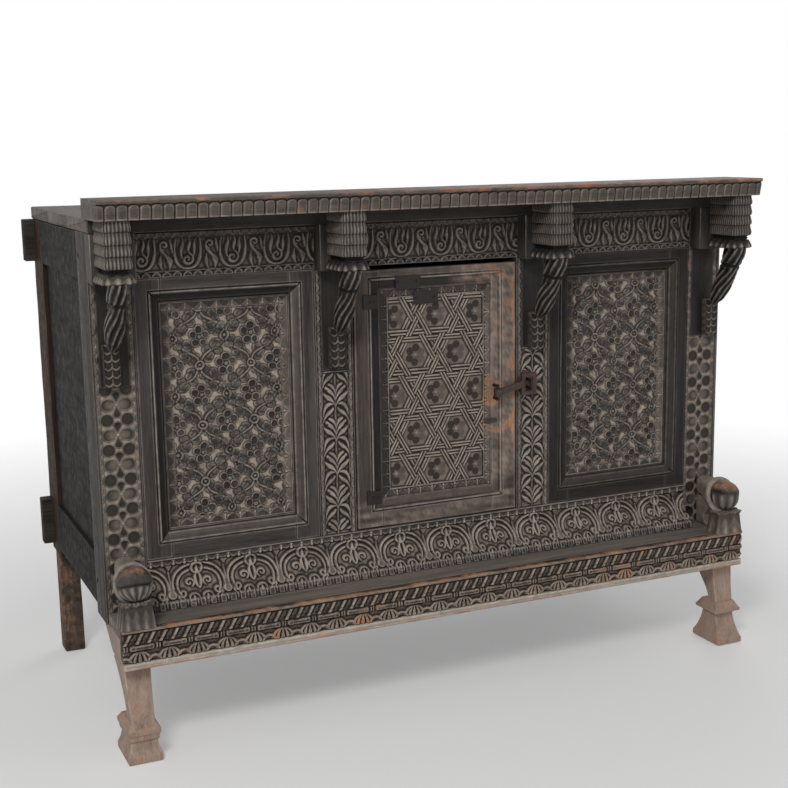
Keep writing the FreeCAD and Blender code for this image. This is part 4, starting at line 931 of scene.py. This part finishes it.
def star_net(u, v):
    """Flowers of six petals in the meshes of three crossing pairs of bands."""
    cut = Carving(u, ground=3.6, dusty=0.45)
    spacing, shift = 78.0, 7.2
    x, z = u + 1, v - 753.5
    for row in (0, 1):
        rx, rz = tile(x - 44 * row, 88), tile(z, 2 * spacing, -row * spacing)
        for i in range(6):
            angle = math.radians(60 * i + 25)
            px, pz = 14.0 * math.cos(angle), 14.5 * math.sin(angle)
            petal = disc(rx, rz, px, pz, 7.7)
            cut.sink(petal, 3.6 + 2.4 * np.sqrt(clip(-petal / 5, 0, 1)), soft=0.6)
            # Painted shade in the left petals, darker than in the right ones.
            cut.shade((0.9 if px < 3 else 0.45) * ramp(0.8, -0.6, petal))
            cut.light(abs(petal - 0.8) - 0.4, 0.4)
        cut.stand(hypot(rx, rz) - 3.6, top=1.6)
        cut.light(hypot(rx, rz) - 2.0, 0.5)
    ways = [(0.0, 1.0), (0.87, 0.493), (-0.87, 0.493)]
    signed = [tile(x * wx + z * wz, spacing, spacing / 2) for wx, wz in ways]
    for k in range(3):
        for s in (-shift, shift):
            band = abs(signed[k] - s)
            over = [ramp(6.6, 5.8, abs(signed[(k + 1) % 3] - s)), ramp(6.6, 5.8, abs(signed[(k + 2) % 3] + s))]
            seen = 1 - maximum(*over)
            inside = ramp(5.4, 4.6, band) * seen
            # Painted shade in the bands' grooves and along their edges; their ridges are lighter.
            ridge = ramp(2.2, 1.5, abs(band - 3.1))
            cut.depth = cut.depth + (3.0 - 2.5 * ridge - cut.depth) * inside
            cut.dust_wear_and_highlight = cut.dust_wear_and_highlight * (1 - inside) + 0.68 * inside * ridge
            cut.dark = cut.dark * (1 - inside) + 0.8 * inside * (1 - ridge)
            cut.shade(0.8 * ramp(1.3, 0.7, abs(band - 5.9)) * seen)
    across, up = margins(u, v, PANEL_X, PANEL_Z)
    edge, side = minimum(across, up), across <= up
    border(cut, edge, 18)
    domes(cut, where(side, v, u), edge - 1.5, 25.5, 14, where(side, PANEL_Z[0] + 10, 0), top=0.8, pin=1.2)
    # Painted shade in the left border and, less, under the top; a painted highlight along the right border.
    shade = where(side & (u < 0), 0.7, where(PANEL_Z[1] - v < 40, 0.4, 0.0))
    cut.shade(shade * ramp(15.5, 13, edge) * (cut.depth < 3.2))
    cut.light(only(side & (u > 0), abs(edge - 8) - 7), 0.35)
    cut.bare = 0.9 * door_wear(u, v) * ramp(4.0, 1.5, cut.depth)
    cut.shade(door_hollow_shadow(u, v))
    return cut


def door_frame(u, v):
    """The window's moulding, but shallow, rubbed bare and greyed towards the lock."""
    cut = frame_relief(u, v, PANEL_X, PANEL_Z, 61)
    cut.depth = minimum(cut.depth, 3.0)
    mottle, wander = drift(u, v, 14, 69), 45 * drift(u, v, 50, 70)
    rub = [0.8 * door_wear(u, v),
           0.26 * ramp(-40, 100, u + wander) * ramp(800, 826, v + 0.3 * wander),
           0.5 * ramp(70, 140, u) * ramp(790, 825, v),
           1.3 * ramp(165, 170, u + 3 * mottle) * ramp(440, 520, v),
           0.14 * ramp(112, 150, u + 0.3 * wander) * ramp(430, 700, v + wander)]
    cut.bare = clip(maximum.reduce(rub) * (0.85 + 0.45 * mottle), 0, 1)
    grey = maximum.reduce([
        ramp(108, 124, u) * ramp(395, 470, v + wander),
        ramp(800, 822, v) * (0.12 + 0.88 * ramp(-50, 60, u + wander)),
        ramp(402, 382, v) * clip(0.62 + 0.6 * drift(0.3 * u, 3 * v, 26, 66), 0, 1)])
    cut.dust_wear_and_highlight = maximum(cut.dust_wear_and_highlight, 0.62 * grey * (0.75 + 0.3 * drift(u, v, 9, 65)))
    cut.dark = cut.dark * (1 - 0.85 * grey)
    cut.shade(door_hollow_shadow(u, v))
    return cut


for name, x in (("hinge", (DOOR_X[0], PANEL_X[0])), ("lock", (PANEL_X[1], DOOR_X[1]))):
    stile = carved(x, DOOR_Z, FRONT, DOOR_BACK, door_frame)
    piece("door_stile_%s_moulded" % name, [stile], DOOR, body="door")
for name, z in (("lower", (DOOR_Z[0], PANEL_Z[0])), ("upper", (PANEL_Z[1], DOOR_Z[1]))):
    rail = carved(PANEL_X, z, FRONT, DOOR_BACK, door_frame, ease=0.6)
    piece("door_rail_%s_moulded" % name, [rail], DOOR_ACROSS, body="door")
field = carved(PANEL_X, PANEL_Z, *PANEL_DEEP, star_net, step=1.15, ease=0.4)
piece("door_panel_carved", [field], DOOR, body="door")


# Bracket capitals and the leaves that hang from them


def evenly(path, count):
    """Evenly spaced points of a path, and how far along it they lie."""
    run = concatenate([[0], np.cumsum(hypot(*np.diff(path, axis=0).T))])
    even = linspace(0, run[-1], count)
    return stack([interp(even, run, path[:, i]) for i in (0, 1)], -1), even


def rounded(half_x, half_y, radius, count):
    """Evenly spaced points round a rectangle with round corners, and the ways out."""
    ring = []
    for quarter, signs in enumerate(((1, 1), (-1, 1), (-1, -1), (1, -1))):
        for turn in linspace(quarter, quarter + 1, 9) * math.pi / 2:
            ring.append((signs[0] * (half_x - radius) + radius * math.cos(turn),
                         signs[1] * (half_y - radius) + radius * math.sin(turn)))
    points = evenly(np.array(ring + ring[:1]), count + 1)[0][:-1]
    along = np.roll(points, -1, 0) - np.roll(points, 1, 0)
    along /= hypot(*along.T)[:, None]
    return points, stack([along[:, 1], -along[:, 0]], -1)


def turned(middle, halves, radius, heights, inset, reeds, depth, count=240, recess_shade=1.0, worn=1.0, **tones):
    """An upright drum: inset(z) sets each height back, and reeds run up its sides."""
    points, ways = rounded(*halves, radius, count)
    z = heights[:, None]
    reed = abs(cos(math.pi * reeds * np.arange(count) / count))
    back = inset(z) + depth * reed ** 2
    place = stack([middle[i] + points[:, i] - back * ways[:, i] for i in (0, 1)] + [z + 0 * back], -1)
    ridge = (1 - reed) ** 0.7
    # The crease tone is painted shade where the drum is set back and between its reeds.
    full = {"edge": worn * clip(0.9 * ridge * ramp(3.2, 0.8, back), 0, 1),
            "dust": worn * 0.35 * ridge * ramp(4.5, 2.0, back),
            "crease": recess_shade * (0.85 * maximum(ramp(3.6, 5.2, back), 0.7 * (1 - ridge)))}
    return loft(place, **{**full, **tones})


def ring_profile(z):
    """Flaring rings, and the thin discs under them."""
    within = (RING_TOP - z) % 20.5
    flare = 2.2 * ramp(13, 2, within) + 1.2 * ramp(15.5, 18.4, within)
    discs = 6.5 + 2.5 * abs(sin((RING_FOOT - z) * math.pi / 4.5))
    return where(z > RING_FOOT, where(within < 18.9, flare, 3.6), discs)


def abacus(z):
    """How far the moulding under the rings is set back."""
    share = clip((ABACUS_TOP - z) / (ABACUS_TOP - ABACUS_FOOT), 0, 1)
    return 7.5 * (1 - share) ** 1.6 + 3.0 * ramp(0.86, 1, share)


def tail_relief(u, v, middle):
    """Crescents one over another on either side of a rib."""
    cut = Carving(u, ground=3.5, dusty=0.0)
    x, z = abs(u - middle), tile(v, 14.5, 674)
    crescent = ink(x, z, arc(6.8, 3.5, 6.5, 190, 335, 8), (1.2, 3.8, 1.5))
    cut.stand(crescent, crown=0.6, size=2, light=0.85)
    cut.stand(x - 0.9, top=1.6)
    cut.flat(x > 13, 0.4)
    cut.shade(0.55)
    return cut


# A leaf's two outlines, as shares of its reach forwards and of its drop
LEAF_REACH, LEAF_DROP, LEAF_TOP = 115, 126, 858
LEAF_FRONT = [(1.00, 0.00), (0.98, 0.10), (0.89, 0.26), (0.80, 0.40), (0.70, 0.54), (0.58, 0.68), (0.50, 0.80),
              (0.42, 0.90), (0.26, 1.00)]
LEAF_BACK = [(0.58, 0.00), (0.55, 0.10), (0.47, 0.26), (0.40, 0.42), (0.33, 0.56), (0.26, 0.70), (0.18, 0.82),
             (0.12, 0.93), (0.18, 0.99)]
LOBES_AT = [0, 0.12, 0.25, 0.36, 0.5, 0.66, 0.82, 0.94, 1]
LOBES_HALF = [14, 15.5, 14, 11.5, 15.5, 17, 13, 7, 3.2]


def smoothed(path):
    """An outline of the leaf in even steps, without its corners."""
    path, run = evenly(np.array(path) * [LEAF_REACH, LEAF_DROP], 90)
    for _ in range(6):
        path[1:-1] = (path[:-2] + 2 * path[1:-1] + path[2:]) / 4
    return path, run


def leaf(middle):
    """A hanging leaf, pinched between its lobes, with veins in its front."""
    front, run = smoothed(LEAF_FRONT)
    back, _ = smoothed(LEAF_BACK)
    corners, ways = outline(16)
    s, share = run[:, None], (run / run[-1])[:, None]
    half = interp(share, LOBES_AT, LOBES_HALF)
    thick = hypot(*(front - back).T)[:, None]
    depth, mid, way = maximum(thick / 2, 4), (front + back) / 2, (front - back) / thick
    round_off, deep = minimum(half * 0.85, 9), minimum(depth * 0.8, 10)
    x = (half - round_off) * corners[:, 0] + round_off * ways[:, 0]
    out = (depth - deep) * corners[:, 1] + deep * ways[:, 1]
    turn = np.arctan2(out / depth, x / half) / TURN
    vein = abs((8 * turn - 0.019 * s) % 1 - 0.5) * 2
    eye = hypot(out - 6, s - 44)
    swirl = abs(((eye - 1.3 * np.arctan2(s - 44, out - 6)) / 6.0) % 1 - 0.5) * 2
    cutting = where(eye < 13, 2.0 * ramp(0.55, 0.15, swirl), 3.8 * ramp(0.7, 0.05, vein)) * ramp(0.99, 0.9, share)
    cutting = cutting + 2.2 * exp(-((share - 0.27) / 0.02) ** 2)
    x, out = x - cutting * ways[:, 0], out - cutting * ways[:, 1]
    place = stack([middle + x, FRONT - (mid[:, :1] + out * way[:, :1]), LEAF_TOP - (mid[:, 1:] + out * way[:, 1:])], -1)
    ridge = ramp(0.4, 0.05, cutting)
    # The crease tone paints shade in the cut veins, over a darker tone all over the leaf.
    return loft(place, dust=0.3 * ridge * ramp(0.7, 0.95, vein), edge=ridge * ramp(0.5, 0.9, vein),
                crease=maximum(0.9 * ramp(0.5, 2.0, cutting), 0.35))


CAPITAL_X, CAPITAL_Y = {"outer": 643, "inner": MULLION_X}, -276.5
RING_TOP, RING_FOOT, ABACUS_TOP, ABACUS_FOOT = 965, 883, 874, 858
ring_heights = concatenate([np.arange(RING_TOP, RING_FOOT + 0.1, -1.64), np.arange(RING_FOOT, 873.9, -0.75)])
abacus_heights = np.arange(ABACUS_TOP + 0.5, ABACUS_FOOT - 0.1, -1.1)
for side, sign in SIDES:
    for name, block in (("outer", POST), ("inner", MULLION)):
        middle, label = sign * CAPITAL_X[name], "%s_%s" % (name, side)
        centre = (middle, CAPITAL_Y)
        drum = turned(centre, (25, 44.5), 9, ring_heights, ring_profile, reeds=40, depth=1.5, count=280,
                      worn=0.85 if sign < 0 else 0.55)
        plate = turned(centre, (31, 44.5), 14, abacus_heights, abacus, reeds=15, depth=3.2,
                       **({"dust": 0.45} if label == "outer_left" else {}))
        block = plank(mirrored(sign, block), (-240, FRONT), (853, HEAD), "z", rough=0.8)
        piece("capital_%s_turned" % label, [drum, plate, block], CARVED_UP)
        tail = carved((middle - 14, middle + 14), (668, 744), -225, FRONT, tail_relief, middle, step=1.2)
        piece("pendant_%s_leaf" % label, [leaf(middle), tail], LEAF)


# Corner scrolls

SCROLL_X, BUD_Y, BUD_Z, BUD_RADIUS = 640, -290, 328, 31.5


def angles(margin, rows, columns):
    """Angles from a ball's upper pole, a margin short of either pole, and round it."""
    return linspace(margin, math.pi - margin, rows)[:, None], linspace(0, TURN, columns, endpoint=False)


def ball(r, polar, around):
    """Points round a middle at nought; the radius may differ with both angles."""
    return stack(np.broadcast_arrays(r * sin(polar) * cos(around), r * sin(polar) * sin(around), r * cos(polar)), -1)


def bud(middle, capped):
    """A ribbed ball; the left one wears a smooth cap over a crease."""
    polar, around = angles(0.02, 60, 96)
    ribs = abs(cos(around * (5.5 if capped else 4.5)))
    if capped:
        crease, below = exp(-((polar - 1.75) / 0.09) ** 2), ramp(1.7, 1.95, polar)
    else:
        crease = exp(-((polar - 1.35 - 0.25 * cos(around)) / 0.12) ** 2) * ramp(-0.6, 0.4, -cos(around + 0.6))
        below = ramp(1.2, 1.6, polar) * 0.8
    crease = crease + 0 * around
    cutting = 0.10 * below * ribs + 0.13 * crease
    x, y, z = np.moveaxis(ball(BUD_RADIUS * (1 - cutting), polar, around), -1, 0)
    tip = -0.35 if capped else 0.0
    place = stack([middle + x, BUD_Y + y * math.cos(tip) - z * math.sin(tip),
                   BUD_Z + y * math.sin(tip) + z * math.cos(tip)], -1)
    bare, ridge = (0.45 if capped else 0.6) * ramp(1.5, 0.6, polar) + 0 * around, (1 - ribs) * below
    # The crease tone paints shade in the bud's groove.
    return loft(place, dust=0.35 * ridge, edge=0.9 * ridge, bare=bare, crease=0.85 * crease)


def hood(middle, wide, thick, dust):
    """The rim that holds the bud like a shell."""
    along, around = linspace(0, TURN, 73)[:-1, None], linspace(0, TURN, 14, endpoint=False)
    tube = thick + 1.6 * clip(-sin(along), 0, 1)
    radius = wide + tube * cos(around) - 0.5 * abs(cos(around * 3))
    up = radius * sin(along)
    place = stack([middle + radius * cos(along), -277 - tube * sin(around) + 0.30 * up, 325 + up], -1)
    return patch(concatenate([place, place[:1]]), grid_faces(73, 14, wrap=True).tolist(), edge=0.8, dust=dust)


def beads(middle):
    """A row of beads round the front of the pedestal, under the bud."""
    bead = ball(3.6, *angles(0.05, 8, 10))
    return [loft(bead + [middle + 27.5 * math.cos(turn), -289 + 21 * math.sin(turn), 295.5], edge=0.5)
            for turn in linspace(-2.9, -0.24, 11)]


def pedestal_inset(z):
    """How far a height of the pedestal is set back: out to its foot, and in again."""
    return where(z > 289, 5.0 - 0.6 * (z - 289), 5.5 * (z - 250) / 39 - 0.6 * ramp(255, 251, z))


# Sections of the bracket behind the bud, along y, and of the stem under it, along z
ARM = [(-206, 336, 21, 24), (-226, 335, 20, 22), (-250, 330, 26, 27), (-276, 326, 31, 32)]
STEM = [(250, -225, 12, 20), (258, -221.5, 12, 16), (273, -219.5, 12, 14.5), (291, -226, 12, 21), (313, -229, 12, 24)]


def beside(middle, table):
    """Stations of a bar, from a table that leaves out their x."""
    return [[first, middle, *rest] for first, *rest in table]


for side, sign, reeds, dust, *rim in (("left", -1, 13, 0.22, 32.5, 3.4, 0.15),
                                      ("right", 1, 9, 0.4, 33.5, 5.2, 0.35)):
    middle = sign * SCROLL_X
    pedestal = turned((middle, BUD_Y), (32, 25), 8, np.arange(296, 249.9, -1.0), pedestal_inset, reeds=reeds,
                      depth=2.0, count=200, recess_shade=0.8, dust=dust)
    parts = [bud(middle, side == "left"), hood(middle, *rim), pedestal, *beads(middle),
             bar("y", beside(middle, ARM), radius=17, cell=5, rough=1.5, dust=0.4),
             bar("z", beside(middle, STEM), radius=4, dust=0.4)]
    piece("corner_scroll_%s_carved" % side, parts, CARVED_UP)


# Legs

LEG_X, LEG_Y, KNEE, SHAFT = 642, FRONT - 115 + 46, FRONT - 78, (62, 173)
REAR_X, REAR_Y, REAR_HALF, REAR_TOP = 649, 309, 22, 232
# The back of a leg: its share of the way behind the chest's front, or before it where the
# share is below nought, and how high up the shaft and head that is
CALF = [(-0.64, 0.00), (-0.60, 0.17), (-0.47, 0.34), (-0.26, 0.51), (0.00, 0.67), (0.50, 0.83), (1.00, 1.00)]
# Each foot and its collar as height and half sizes, then the shin's heights and how far out it stands.
# The left foot is stepped, and the right one flares below a sharp collar.
FEET = {
    "left": ([(0, 32, 46), (15, 32, 46), (17, 30.5, 44.5), (26, 27, 41), (42, 24.5, 38)],
             [(39, 25, 38.5), (44, 27.5, 41.5), (53, 28, 42), (54, 30, 44), (62, 30.5, 44.5), (64, 28.5, 42),
              (73, 23, 36)],
             [(62, 111), (72, 109), (110, 92), (173, 78)]),
    "right": ([(0, 30, 44), (3, 32, 46), (13, 32, 46), (15, 30.5, 44), (28, 27.5, 36), (46, 24.5, 28), (70, 22.5, 22)],
              [(64, 24, 25), (68, 25, 27), (71, 33, 36), (76.5, 33, 36), (78, 31, 34), (92, 23.5, 25)],
              [(62, 96), (82, 94), (120, 86), (173, 80)]),
}


def front_leg(middle, seed, base, band, shin):
    """A foot and its collar, the shaft on them and its head under the ledge."""
    def sections(z, near, half):
        share = interp((z - SHAFT[0]) / (BOTTOM - SHAFT[0]), *zip(*[(up, back) for back, up in CALF]))
        far = FRONT + where(share < 0, share * 110, share * 76)
        return [[a, middle, (n + f) / 2, h, (f - n) / 2] for a, n, f, h in np.broadcast(z, near, far, half)]
    base, band = (beside(middle, [(z, LEG_Y, *halves) for z, *halves in table]) for table in (base, band))
    heights = linspace(*SHAFT, 28)
    near = interp(heights, [z for z, _ in shin], [FRONT - out for _, out in shin])
    shaft = sections(heights, near, interp(heights, [SHAFT[0], 80, SHAFT[1]], [20.5, 22, 25.5]))
    head = sections(linspace(SHAFT[1], BOTTOM, 10), KNEE, 26)
    return [bar("z", base, radius=4, rough=0.7, seed=seed, cell=5, bare=0.25, sides=12),
            bar("z", band, radius=1.6, rough=0.7, seed=seed + 1, cell=3, bare=0.3, sides=8),
            bar("z", shaft, radius=4, rough=0.9, seed=seed + 2, cell=4, bare=0.2, sides=12),
            bar("z", head, radius=4, rough=0.6, seed=seed + 3, cell=6, sides=12)]


for side, sign, seed in (("left", -1, 3), ("right", 1, 8)):
    middle = sign * LEG_X
    peg = plank((middle - 17, middle + 17), (-182, -148), (226, 246), "z")
    piece("front_leg_%s_shaped" % side, front_leg(middle, seed, *FEET[side]) + [peg], LEG)
    foot = beside(sign * REAR_X, [(z, REAR_Y, REAR_HALF, REAR_HALF) for z in (0, REAR_TOP)])
    parts = [bar("z", foot, radius=4, rough=0.9, seed=21, bare=0.25, dust=0.15),
             plank(mirrored(sign, POST), (245, 335), (BOTTOM, HEAD), "z", rough=0.8, seed=22)]
    piece("rear_post_%s_sawn" % side, parts, REAR_POST)


# Plain boards

for name in ("top_board_1", "top_board_2", "top_board_3"):
    x, (y0, y1), z = span(name)
    weathered = dict(rough=0.9, cell=8, radius=3)
    if y0 < -200:
        # The front 12 mm of the front board holds painted shadow under the cornice.
        boards = [plank(x, (y0, y0 + 12), z, "x", rough=0.4, crease=0.8, radius=1.5),
                  plank(x, (y0 + 11, y1 - 0.6), z, "x", seed=4, **weathered)]
    else:
        boards = [plank(x, (y0 + 0.6, y1 - (0.6 if y1 < 334 else 0)), z, "x", seed=ord(name[-1]), **weathered)]
    piece(name + "_sawn", boards, TOP)
for name in ("side_rail_%s_%s" % (level, side) for side, _ in SIDES for level in ("upper", "lower")):
    x, (y0, y1), z = span(name)
    piece(name + "_sawn", [plank(x, (y0 + 28, y1 - 28), z, "y", rough=0.9, seed=16, cell=8)], SIDE_SHADED)
for name in ("back_rail_upper", "back_rail_lower"):
    piece(name + "_sawn", [plank(*span(name), "x", rough=0.8, seed=31)], BACK)


def dress(name, material, *bevels):
    """Gives a CAD node its material, and eases its edges."""
    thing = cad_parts[name]
    thing.data.materials.clear()
    thing.data.materials.append(material)
    for bevel in bevels:
        modifier = thing.modifiers.new("eased", "BEVEL")
        modifier.width, modifier.segments = bevel * MM, 2
        modifier.limit_method = "ANGLE"


for name in ("side_panel_left", "side_panel_right"):
    dress(name, SIDE_SHADED[0], 1.2)
for name in ("back_boards", "floor_boards"):
    dress(name, BACK[0], 1.2)
for name in ("door_corner_straps", "door_mending_plates", "door_rivets", "door_staple", "mullion_staple"):
    dress(name, IRON, 0.35)
dress("frame_pegs", SIDE_SHADED[0])
dress("door_pivots", IRON)
dress("hasp_arm", HASP, 0.35, 0.35)
dress("rosette_plate", RUSTED, 0.4)


# Floor, light and camera


def white_seen(colour):
    """A floor that fades to white, seen straight or mirrored, away from the chest."""
    s = Shader(bpy.data.materials.new("floor"))
    s.put(colour, s.surface.inputs["Base Color"])
    s.put(0.9, s.surface.inputs["Roughness"])
    away = s.add("VectorMath", {0: s.place}, operation="LENGTH").outputs["Value"]
    glow = s.add("Emission", {"Color": WHITE, "Strength": 1.0})
    s.blend(s.times(s.seen(), s.spread(away, 0.9, 2.6, 0.25, 1.0)), s.surface, glow, "Material Output")
    return s.owner


bpy.ops.mesh.primitive_plane_add(size=60, location=(0, 0, 0))
floor = bpy.context.active_object
floor.name = "floor"
floor.data.materials.append(white_seen(rgb(244, 243, 241)))

studio = Shader(bpy.data.worlds.new("studio"))
bpy.context.scene.world = studio.owner
sky = studio.tree.nodes["Background"]
studio.put((0.95, 0.97, 1.0, 1), sky.inputs["Color"])
studio.put(0.3, sky.inputs["Strength"])
studio.blend(studio.seen(), sky, studio.add("Background", {"Color": WHITE}), "World Output")


def lamp(name, place, target, size, power):
    """A round lamp, in metres and watts, that shines at a target."""
    light = bpy.data.lights.new(name, "AREA")
    light.shape, light.size, light.energy = "DISK", size, power
    thing = linked(name, light)
    thing.location = place
    thing.rotation_euler = (Vector(target) - Vector(place)).to_track_quat("-Z", "Y").to_euler()


lamp("key", (-2.0, -2.6, 3.0), (0, -0.2, 0.5), 1.1, 62)
lamp("rear", (2.6, 3.0, 2.4), (0, 0.1, 0.5), 2.5, 26)
lamp("fill", (2.6, -3.2, 1.6), (0, -0.2, 0.5), 2.5, 12)

# The camera was fitted to the photograph: its place, in metres, and its three ways
camera = bpy.data.cameras.new("camera")
camera.lens, camera.sensor_width = 61.45, 36.0
right = Vector((0.91189604, -0.41008042, -0.01672294))
down = Vector((-0.09172294, -0.1639105, -0.98220174))
ahead = Vector((0.40004063, 0.89719975, -0.18708312))
turn = Matrix((right, -down, -ahead)).transposed().to_4x4()
viewer = linked("camera", camera)
viewer.matrix_world = Matrix.Translation((-1.1409, -2.5515, 1.0927)) @ turn
bpy.context.scene.camera = viewer
bpy.context.scene.view_settings.view_transform = "Standard"
